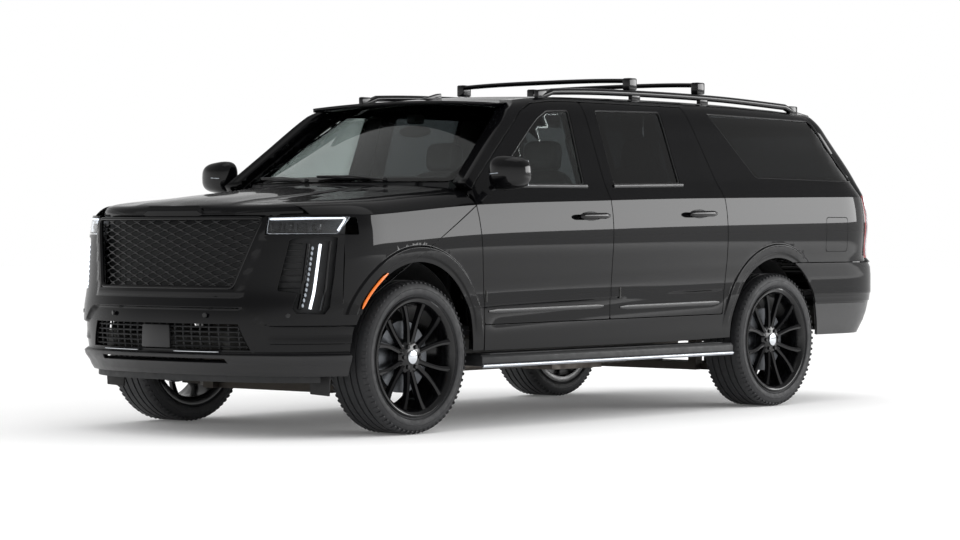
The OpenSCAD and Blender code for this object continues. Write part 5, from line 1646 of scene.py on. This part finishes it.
    def lamps(self) -> None:
        """Upright tail lamps: red lenses with bright bars, and the painted pillar above them."""
        jobs = (("tail_lamp_low", (60, 905, 930, 1338)), ("tail_lamp_high", (560, 830, 1346, 1620)))
        cols = steps(-10, 1010, 24)
        for name, (u0, u1, z0, z1) in jobs:
            outline = split_long(rounded([(u0, z0), (u1, z0), (u1, z1), (u0, z1)], 14), 60)
            bm = Panel(self.corner, outline, cols, steps(z0 - 2, z1 + 2, 12), [], 14.0, None, 1.5).build()
            both_sides(bm, name, LENS_RED, ["tail_lamps"] if name == "tail_lamp_low" else ())
        holes = [split_long(rounded([(u0 - 3, z0 - 3), (u1 + 3, z0 - 3), (u1 + 3, z1 + 3), (u0 - 3, z1 + 3)],
                                    15), 60)
                 for _, (u0, u1, z0, z1) in jobs]
        outline = split_long([(2, 905), (998, 905), (998, 1868), (2, 1868)], 60)
        corner = Panel(self.corner, outline, cols, steps(903, 1870, 40), holes, 20.0, None, 1.5)
        both_sides(corner.build(), "rear_corner", BLACK_PAINT)
        bars = Stock()
        for u in (180, 780):
            bars.tube([self.corner(u, z) for z in steps(945, 1322, 12)], 4.5, 8)
        both_sides(bars.bm, "tail_lamp_bars", REFLECTOR)


# ---------------------------------------------------------------- front details
@dataclass
class FrontFace:
    """Grille, lower intake and lamps."""

    rows: int = 18
    pitch: float = 20.6  # height of a row of wings
    wings: int = 20  # wings in a row

    def grille(self) -> None:
        """Mesh grille: woven wings in a gloss frame, behind the fascia's opening."""
        s, at = SHAPE, SHAPE.nose_by_x
        made = Stock()
        frame = [(-632, 1170), (-506, 800), (506, 800), (632, 1170)]
        ring = split_long(rounded(frame, 26), 60)
        made.tube([at(x, z, 2) for x, z in ring + ring[:1]], 12, 12, 0.8)
        piece(made, "grille_frame", "body", GLOSS_BLACK)
        mesh = Stock()
        for row in range(self.rows):
            z = 810 + row * self.pitch
            half = 504 + 128 * (z - 800) / 370 - 6
            for k in range(self.wings):
                x0 = -half + 2 * half * k / self.wings
                x1 = x0 + 2 * half / self.wings
                lift = 8 if (row + k) % 2 else -8
                path = [at(x0 + (x1 - x0) * t, z + lift * math.sin(math.pi * t),
                           -12 - 5 * math.sin(math.pi * t)) for t in steps(0, 1, 5)]
                mesh.tube(path, [3, 5.5, 7, 7, 5.5, 3], 6, 0.8)
        piece(mesh, "grille_mesh", "body", GLOSS_BLACK, ["grille"])
        back = Panel(lambda a, z: s.nose_at(a, z, -52),
                     [(s.nose_angle(x, z), z) for x, z in split_long(grown(frame, 20), 60)],
                     steps(-50, 50, 20), steps(780, 1190, 8), depth=6.0, roll=1.0)
        piece(back.build(), "grille_shutters", "body", GRAINED_ABS)

    def lower(self) -> None:
        """Lower intake slats, sensor caps, plate pad and bright strips."""
        at = SHAPE.nose_by_x
        made = Stock()
        for z in (490, 516, 542, 568, 594):
            half = 610 - 0.4 * (z - 470)
            made.tube([at(x, z, -34) for x in steps(-half, half, 30)], 8, 8, 0.6)
        for k in range(-9, 10):
            made.tube([at(k * 62, z, -42) for z in steps(474, 608, 4)], 6, 8)
        for k in range(-8, 9):
            made.tube([at(k * 52, z, -34) for z in (398, 430)], 5, 8)
        piece(made, "lower_mesh", "body", GRAINED_ABS)
        pad = Stock()
        pad.prism([(-110, 478), (110, 478), (104, 602), (-104, 602)], lambda u, v,
                  w: at(0, 540, w) + Vector((u, 0, v - 540)),
                  -26, -8, 6)
        piece(pad, "plate_pad", "body", SATIN_ABS)
        strips = Stock()
        for side in (-1, 1):
            strips.tube([at(side * x, 462, 2) for x in steps(138, 444, 16)], [4] + [9] * 15 + [4], 10, 0.55)
        piece(strips, "nose_strips", "body", BRIGHT_TRIM)
        caps = Stock()
        for x in (-800, -359, 359, 800):
            p = at(x, 657, 0)
            q = at(x, 657, 10)
            caps.turned([(0, 2.5), (11, 2), (13, 0), (13, -8)], p, q - p, 28)
        piece(caps, "sensor_caps", "body", SATIN_ABS)

    def lamps(self) -> None:
        """Slim upper lamps and upright lamp blocks in the corners."""
        s, place = SHAPE, SHAPE.nose_by_x
        upper = split_long(rounded([(662, 1172), (985, 1178), (958, 1090), (664, 1088)], 10), 40)
        lens = Panel(lambda a, z: s.nose_at(a, z, -1), [(s.nose_angle(x, z), z) for x, z in upper],
                     steps(35, 84, 18),
                     steps(1080, 1176, 5), depth=4.0, roll=0.8)
        both_sides(lens.build(), "upper_lamp_lens", LENS_CLEAR, ["headlamps"])
        made = Stock()
        made.tube([place(x, 1164 + (x - 668) * 0.022, -8) for x in steps(668, 972, 16)], [4] + [6] * 15 + [5],
                  10, 0.8)
        made.tube([place(x, z, -8) for x, z in ((974, 1170), (970, 1146), (958, 1106))], 5.5, 10)
        made.tube([place(x, z, -4) for x, z in zip(steps(905, 880, 14), steps(1034, 692, 14))], 7.5, 10, 1.0,
                  ALONG)
        boxes = Stock()
        for x in (700, 762, 824, 886):
            p = place(x, 1124, -34)
            boxes.block((p.x - 24, p.x + 24), (p.y - 6, p.y + 30), (1100, 1146), 6)
            boxes.ball(place(x, 1124, -26), (17, 12, 15), None, 2)
        made.mark = 1
        for k, z in enumerate(steps(1012, 710, 11)):
            made.ball(place(878 - 2.2 * k, z, -10), (7, 6, 11), None, 2)
        boxes.tube([place(x, z, -24) for x, z in zip(steps(862, 842, 6), steps(1036, 690, 6))], 11, 8)
        boxes.tube([place(x, z, -14) for x, z in zip(steps(940, 916, 6), steps(1048, 682, 6))], 8, 8)
        back = Panel(lambda a, z: s.nose_at(a, z, -44), [(s.nose_angle(x, z), z) for x, z in
                     split_long([(650, 1180), (985, 1180), (985, 1080), (965, 655), (800, 655), (720, 780),
                                 (650, 1080)], 60)],
                     steps(34, 84, 18), steps(650, 1182, 12), depth=6.0, roll=1.0)
        fins = Stock()
        for z in steps(802, 1034, 7):
            x0 = 742 + (z - 789) * 0.16
            fins.tube([place(x, z, -8 - 14 * (x - x0) / 90) for x in steps(x0, 838, 4)], 6, 8, 0.5)
        both_sides(made.bm, "lamp_guides", [LED_WHITE, LED_DIM])
        both_sides(boxes.bm, "lamp_cells", GLOSS_BLACK)
        both_sides(back.build(), "lamp_housing", GRAINED_ABS)
        both_sides(fins.bm, "corner_fins", GLOSS_BLACK)

    def build(self) -> None:
        """Make the front."""
        self.grille()
        self.lower()
        self.lamps()


# ---------------------------------------------------------------- wheels
@dataclass
class Wheel:
    """24 inch wheel with six pairs of spokes, and its ribbed tyre."""

    tyre_r: float = 419.0
    width: float = 285.0
    bead: float = 305.0
    track: float = 868.0
    ribs: int = 72
    pairs: int = 6  # pairs of spokes, and wheel bolts

    def tyre(self) -> Stock:
        """Tyre turned about the x axis, with tread blocks at its shoulders."""
        h, r, b = self.width / 2, self.tyre_r, self.bead
        made = Stock()
        profile = [(b, -h + 36), (b + 14, -h + 18), (b + 36, -h + 5), (b + 62, -h), (r - 34, -h + 5),
                   (r - 12, -h + 16),
                   (r - 4, -h + 30)]
        for groove in (-72, -26, 26, 72):
            profile += [(r - 1, groove - 8), (r - 1, groove - 6), (r - 9, groove - 4.5), (r - 9, groove + 4.5),
                        (r - 1, groove + 6)]
        profile += [(r - 4, h - 30), (r - 12, h - 16), (r - 34, h - 5), (b + 62, h), (b + 36, h - 5),
                    (b + 14, h - 18),
                    (b, h - 36), (b + 8, 0)]
        made.turned(profile, Vector(), ACROSS, 144, True)
        for side in (-1, 1):
            for i in range(self.ribs):
                a = math.tau * i / self.ribs
                spin = Matrix.Rotation(a, 4, "X")
                size = Matrix.Diagonal((30, 15, 8, 1))
                m = spin @ Matrix.Translation((side * (h - 20), 0, r - 9.5)) @ Matrix.Rotation(side * 0.42, 4,
                                                                                               "Y") @ size
                ret = bmesh.ops.create_cube(made.bm, size=1.0, matrix=m)
                made.finish_edges(ret["verts"], 1.4, 1)
        for radius, x in ((372, h - 2.2), (338, h - 3.2)):
            for side in (-1, 1):
                made.turned([(radius - 3, side * (x - 1)), (radius, side * (x + 2.2)),
                             (radius + 3, side * (x - 1))], Vector(),
                            ACROSS, 96)
        return made

    def rim(self) -> Stock:
        """Left rim: barrel, lip, split spokes and hub."""
        made = Stock()
        h = self.width / 2 - 12
        b = self.bead + 4
        made.turned([(b, h - 8), (b + 12, h + 2), (b + 15, h + 5), (b + 8, h + 8), (b - 4, h + 4),
                     (b - 16, h - 10),
                     (b - 26, 20), (b - 30, -h + 10), (b + 13, -h - 2), (b + 15, -h - 6), (b + 6, -h - 6),
                     (b - 22, -h),
                     (b - 22, 10), (b - 8, h - 20)], Vector(), ACROSS, 120, True)
        face = h - 22
        for i in range(self.pairs):
            mid = math.tau * i / self.pairs
            for way in (-1, 1):
                a0, a1 = mid + way * 0.19, mid + way * 0.27
                path = []
                for t in steps(0, 1, 9):
                    r = 62 + (b - 14 - 62) * t
                    a = a0 + (a1 - a0) * t - way * 0.03 * math.sin(math.pi * t)
                    x = face - 22 * (1 - t) ** 2 + 10 * t
                    path.append(Vector((x - 16, r * math.sin(a), r * math.cos(a))))
                made.tube(path, [19, 17, 16, 15.5, 15, 15, 15.5, 16.5, 18, 20], 8, 1.35, ACROSS)
        made.turned([(0, face - 4), (34, face - 6), (70, face - 12), (92, face - 24), (96, face - 50),
                     (84, face - 90), (0, face - 90)],
                    Vector(), ACROSS, 72)
        for i in range(self.pairs):
            a = math.tau * (i + 0.5) / self.pairs
            made.turned([(0, 12), (11, 11), (13, 0), (13, -10)],
                        Vector((face - 12, 62 * math.sin(a), 62 * math.cos(a))),
                        ACROSS, 6)
        made.mark = 1
        made.turned([(0, face + 4), (30, face + 3), (37, face), (38, face - 8)], Vector(), ACROSS, 56)
        return made

    def brake(self) -> Stock:
        """Brake disc behind the spokes."""
        made = Stock()
        made.turned([(60, 22), (95, 22), (98, 12), (196, 12), (196, -16), (98, -16), (90, -22), (60, -22)],
                    Vector((20, 0, 0)),
                    ACROSS, 96, True)
        return made

    def build(self) -> None:
        """Make the four wheels."""
        tyre, rim, brake = self.tyre(), self.rim(), self.brake()
        for end, y in (("front", SHAPE.axle_f), ("rear", SHAPE.axle_r)):
            for side in Side:
                body = f"wheel_{end}_{side.word}"
                short = f"{end}_{side.word}"
                at = Vector((side.value * self.track, y, SHAPE.axle_z))
                for what, stock, finish, nodes, slot in (
                    ("tyre", tyre, TYRE_RUBBER, [f"tyre_{short}"], "tyre"),
                    ("rim", rim, [BLACK_ALLOY, BRIGHT_TRIM], [f"rim_{short}"], "wheel_black"),
                    ("disc", brake, BRAKE_STEEL, (), None),
                ):
                    bm = handed(stock.bm, side)
                    bmesh.ops.translate(bm, vec=at, verts=bm.verts)
                    piece(bm, f"wheel_{what}_{short}", body, finish, nodes)


# ---------------------------------------------------------------- side details
@dataclass
class SideDetails:
    """Door mirrors, running boards and side markers."""

    def mirror(self) -> Stock:
        """Left mirror: a squared shell on its foot, a thin lamp line and the glass."""
        made = Stock()
        x, y, z = 1150.0, -1275.0, 1425.0
        power, cut = 0.55, y + 44  # how square the shell is, and where its back is flattened
        ret = bmesh.ops.create_icosphere(made.bm, subdivisions=4, radius=1.0)
        for v in ret["verts"]:
            d = Vector([math.copysign(abs(k) ** power, k) for k in v.co]).normalized()
            p = d * (1 / (abs(d.x) ** 3.4 + abs(d.y) ** 2.6 + abs(d.z) ** 3) ** (1 / 3))
            deep = 62 if p.y > 0 else 96 - 26 * max(p.x, 0)
            v.co = Vector((x + 122 * p.x, y + deep * p.y, z + (96 - 14 * p.x) * p.z * (1 if p.z > 0 else 0.98)))
            if v.co.y > cut:
                v.co.y = cut + (v.co.y - cut) * 0.1
        foot = [Vector((1000, -1262, 1345)), Vector((1040, -1268, 1352)), Vector((1086, -1272, 1368))]
        made.tube(foot, [26, 24, 26], 14, 0.6)
        made.mark = 1
        line = [Vector((1070, -1364, 1420)), Vector((1130, -1367, 1424)), Vector((1205, -1345, 1426)),
                Vector((1256, -1294, 1428))]
        made.tube(line, [3, 5, 5, 3], 8, 0.8)
        made.mark = 2
        return made.block((1066, 1238), (-1232, -1228), (1352, 1496), 1.8)

    def step(self) -> Stock:
        """Left running board with its tread lines and bright edge."""
        board = Stock()
        outline = [(836, 362), (842, 352), (1022, 352), (1034, 366), (1034, 400), (1022, 416), (850, 418),
                   (836, 410)]
        board.prism(rounded(outline, 6), lambda u, v, w: Vector((u, w, v)), -1386, 997, 5)
        for k in range(8):
            board.block((880 + k * 18, 888 + k * 18), (-1300, 910), (414, 421), 1.5, 1)
        board.mark = 1
        return board.tube([Vector((1034, y, 352)) for y in (-1384, -1380, 990, 994)], [5, 8, 8, 5], 10, 1.3)

    def marker(self) -> Stock:
        """Left amber marker ahead of the front wheel."""
        path = []
        for z in steps(690, 876, 8):
            y = SHAPE.axle_f - math.sqrt(max((SHAPE.arch_r + 12) ** 2 - (z - SHAPE.arch_z) ** 2, 1))
            path.append(Vector((SHAPE.side_x(y, z) + 10, y, z)))
        return Stock().tube(path, [4] + [9] * 7 + [4], 8, 0.6, ACROSS)

    def build(self) -> None:
        """Make both sides."""
        head = self.mirror()
        for side in Side:
            piece(handed(head.bm, side), f"mirror_head_{side.word}", f"front_door_{side.word}",
                  [GLOSS_BLACK, LED_DIM, REFLECTOR], [f"mirror_{side.word}"])
        both_sides(self.step().bm, "side_step", [GRAINED_ABS, SATIN_METAL], ["running_boards"])
        both_sides(self.marker().bm, "side_marker", LENS_AMBER)


# ---------------------------------------------------------------- cabin
@dataclass
class Cabin:
    """Padded seats on their bases."""

    def seat(self, x: float, y: float, z: float, wide: float, name: str, node: Sequence[str]) -> None:
        """One seat: bolstered cushion, back and head rest, each a padded piece.

        Args:
            x: Middle of the seat.
            y: Station of the cushion's front edge.
            z: Height of the cushion's top.
            wide: Width.
            name: Name of the pieces.
            node: CAD nodes that the first piece stands for.
        """
        deep = 500.0
        parts = (
            ("cushion", (x, y + deep / 2, z - 70), (wide / 2, deep / 2, 75), 0.0),
            ("back", (x, y + deep + 95, z + 255), (wide / 2, 62, 320), -0.2),
            ("head", (x, y + deep + 178, z + 655), (128, 48, 92), -0.12),
        )
        for what, centre, half, lean in parts:
            made = self.pad(centre, half, lean)
            done = piece(made, f"{name}_{what}", "body", SEAT_LEATHER, node if what == "cushion" else (),
                         60)
        frame = Stock()
        frame.block((x - wide / 2 + 40, x + wide / 2 - 40), (y + 60, y + deep - 40), (z - 230, z - 150), 12)
        for side in (-1, 1):
            frame.tube([Vector((x + side * 52, y + deep + 150, z + 540)),
                        Vector((x + side * 52, y + deep + 172, z + 600))], 7, 10)
        piece(frame, f"{name}_base", "body", SATIN_ABS)

    def pad(self, centre: tuple, half: tuple, lean: float) -> Stock:
        """Make a bolstered pad: a full superellipsoid with raised sides.

        Args:
            centre: Its centre.
            half: Half sizes along x, y and z.
            lean: Turn about x in radians.

        Returns:
            The pad.
        """
        made = Stock()
        ret = bmesh.ops.create_icosphere(made.bm, subdivisions=4, radius=1.0)
        turn = Matrix.Rotation(lean, 3, "X")
        for v in ret["verts"]:
            d = v.co.normalized()
            size = (abs(d.x) ** 4 + abs(d.y) ** 4 + abs(d.z) ** 4) ** 0.25
            p = d / size
            thin = half.index(min(half[1:])) if half[1] != half[2] else 2
            lift = smooth((abs(p.x) - 0.55) / 0.3) * 0.35 if p[thin] * (-1 if thin == 1 else 1) > 0.2 else 0.0
            p[thin] *= 0.86 + lift
            v.co = Vector(centre) + turn @ Vector((p.x * half[0], p.y * half[1], p.z * half[2]))
        return made

    def build(self) -> None:
        """Make the cabin."""
        mid = SHAPE.mid
        self.seat(390, mid - 560, 900, 540, "driver_seat", ["front_seats"])
        self.seat(-390, mid - 560, 900, 540, "passenger_seat", [])
        self.seat(390, mid + 410, 920, 530, "second_seat_left", ["second_row_seats"])
        self.seat(-390, mid + 410, 920, 530, "second_seat_right", [])
        self.seat(300, mid + 1330, 980, 520, "third_seat_left", ["third_row_seat"])
        self.seat(-300, mid + 1330, 980, 520, "third_seat_right", [])


# ---------------------------------------------------------------- kept running gear
KEPT = {
    "chassis_frame": WAXED_STEEL, "hitch_receiver": WAXED_STEEL, "front_suspension": CAST_IRON,
    "rear_suspension": CAST_IRON, "knuckle_left": CAST_IRON, "knuckle_right": CAST_IRON, "floor_pan": CARPET,
    "wheel_liners": LINER_FELT, "cowl_panel": GRAINED_ABS, "dashboard": SOFT_TRIM,
    "steering_wheel": SEAT_LEATHER,
    "engine_block": CAST_IRON, "driveline": CAST_IRON, "exhaust": EXHAUST_STEEL,
}


def dress_kept() -> None:
    """Give every node that stays its finish, by the slots of its object."""
    for made in bpy.context.scene.objects:
        finish = KEPT.get(made.get("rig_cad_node", ""))
        if finish:
            for slot in made.material_slots:
                slot.link = "OBJECT"
                slot.material = finish.build()


# ---------------------------------------------------------------- studio
@dataclass
class Studio:
    """Pale floor, soft light and the camera."""

    where: tuple[float, float, float] = (11.45, -13.5753, 1.094)
    azimuth: float = 40.561
    elevation: float = 0.739
    lens: float = 108.44
    ceiling: float = 0.3  # mirrored level straight above
    floor_lift: float = 0.07  # brings the far floor up to white

    def floor(self) -> None:
        """Plain pale floor that keeps the vehicle's shadow."""
        bm = bmesh.new()
        bmesh.ops.create_grid(bm, x_segments=8, y_segments=8, size=60.0)
        mesh = bpy.data.meshes.new("studio_floor")
        bm.to_mesh(mesh)
        bm.free()
        made = bpy.data.objects.new("studio_floor", mesh)
        made.location.z = -0.001
        bpy.context.scene.collection.objects.link(made)
        mat = bpy.data.materials.new("pale_floor")
        mat.use_nodes = True
        tree = mat.node_tree
        tree.nodes.clear()
        place = add_node(tree, "ShaderNodeTexCoord").outputs["Object"]
        noise = add_node(tree, "ShaderNodeTexNoise",
                         {"Vector": place, "Scale": 0.8, "Detail": 3.0}).outputs["Fac"]
        colour = add_node(tree, "ShaderNodeMix", {0: noise, 6: srgb("#f7f7f7"), 7: srgb("#ffffff")},
                          data_type="RGBA")
        shade = add_node(tree, "ShaderNodeBsdfDiffuse", {"Color": colour.outputs[2]})
        path = add_node(tree, "ShaderNodeLightPath").outputs
        seen = add_node(tree, "ShaderNodeMath", {0: path["Is Camera Ray"], 1: path["Is Glossy Ray"]},
                        operation="MAXIMUM")
        seen = add_node(tree, "ShaderNodeMath", {0: seen.outputs[0], 1: path["Is Transmission Ray"]},
                        operation="MAXIMUM")
        lift = add_node(tree, "ShaderNodeMath", {0: seen.outputs[0], 1: self.floor_lift}, operation="MULTIPLY")
        pale = add_node(tree, "ShaderNodeEmission", {"Strength": lift.outputs[0]})
        both = add_node(tree, "ShaderNodeAddShader", {0: shade.outputs[0], 1: pale.outputs[0]})
        add_node(tree, "ShaderNodeOutputMaterial", {"Surface": both.outputs[0]})
        mesh.materials.append(mat)

    def world(self) -> None:
        """White surroundings; what glossy rays mirror darkens towards the ceiling."""
        scene = bpy.context.scene
        world = bpy.data.worlds.new("studio")
        scene.world = world
        world.use_nodes = True
        tree = world.node_tree
        tree.nodes.clear()
        path = add_node(tree, "ShaderNodeLightPath").outputs
        seen = add_node(tree, "ShaderNodeMath", {0: path["Is Camera Ray"], 1: path["Is Glossy Ray"]},
                        operation="MAXIMUM")
        seen = add_node(tree, "ShaderNodeMath", {0: seen.outputs[0], 1: path["Is Transmission Ray"]},
                        operation="MAXIMUM")
        height = add_node(tree, "ShaderNodeSeparateXYZ",
                          {0: add_node(tree, "ShaderNodeTexCoord").outputs["Generated"]})
        fall = add_node(tree, "ShaderNodeMapRange",
                        {0: height.outputs[2], 1: 0.02, 2: 0.42, 3: 1.0, 4: self.ceiling},
                        interpolation_type="SMOOTHSTEP")
        fall = add_node(tree, "ShaderNodeMix", {0: path["Is Glossy Ray"], 2: 1.0, 3: fall.outputs[0]})
        level = add_node(tree, "ShaderNodeMix", {0: seen.outputs[0], 2: 1.0, 3: fall.outputs[0]})
        back = add_node(tree, "ShaderNodeBackground",
                        {"Color": (1.0, 1.0, 1.0, 1.0), "Strength": level.outputs[0]})
        add_node(tree, "ShaderNodeOutputWorld", {"Surface": back.outputs[0]})
        scene.view_settings.view_transform = "Standard"

    def lamp(self, name: str, at: Vector, aim: Vector, wide: float, high: float, power: float) -> None:
        """Soft box.

        Args:
            name: Its name.
            at: Its place in metres.
            aim: Point that it faces.
            wide: Width.
            high: Height.
            power: Watts.
        """
        data = bpy.data.lights.new(name, "AREA")
        data.shape, data.size, data.size_y, data.energy = "RECTANGLE", wide, high, power
        made = bpy.data.objects.new(name, data)
        made.location = at
        made.rotation_euler = (aim - at).to_track_quat("-Z", "Y").to_euler()
        made.visible_camera = False
        bpy.context.scene.collection.objects.link(made)

    def camera(self) -> None:
        """Camera at the three-quarter front view."""
        data = bpy.data.cameras.new("view")
        data.lens, data.sensor_width, data.clip_end = self.lens, 36.0, 500.0
        data.dof.use_dof = False
        made = bpy.data.objects.new("view", data)
        a, e = math.radians(self.azimuth), math.radians(self.elevation)
        look = -Vector((math.sin(a) * math.cos(e), -math.cos(a) * math.cos(e), math.sin(e)))
        made.location = self.where
        made.rotation_euler = look.to_track_quat("-Z", "Y").to_euler()
        bpy.context.scene.collection.objects.link(made)
        bpy.context.scene.camera = made

    def build(self) -> None:
        """Set the studio up."""
        self.floor()
        self.world()
        self.lamp("side_box", Vector((10.0, 11.0, 4.0)), Vector((0, 0, 1.0)), 12.0, 4.4, 1200.0)
        self.lamp("top_box", Vector((0, 0, 9.0)), Vector((0, 0, 0)), 5.0, 8.0, 60.0)
        self.camera()


def main() -> None:
    """Build every sub-assembly in order."""
    logging.basicConfig(level=logging.INFO, format="%(name)s %(message)s")
    doors = Doors()
    doors.build()
    SidePanels(doors).build()
    Nose().build()
    Greenhouse().build()
    Tail().build()
    FrontFace().build()
    Wheel().build()
    SideDetails().build()
    Cabin().build()
    dress_kept()
    Studio().build()


if __name__ == "__main__":
    main()
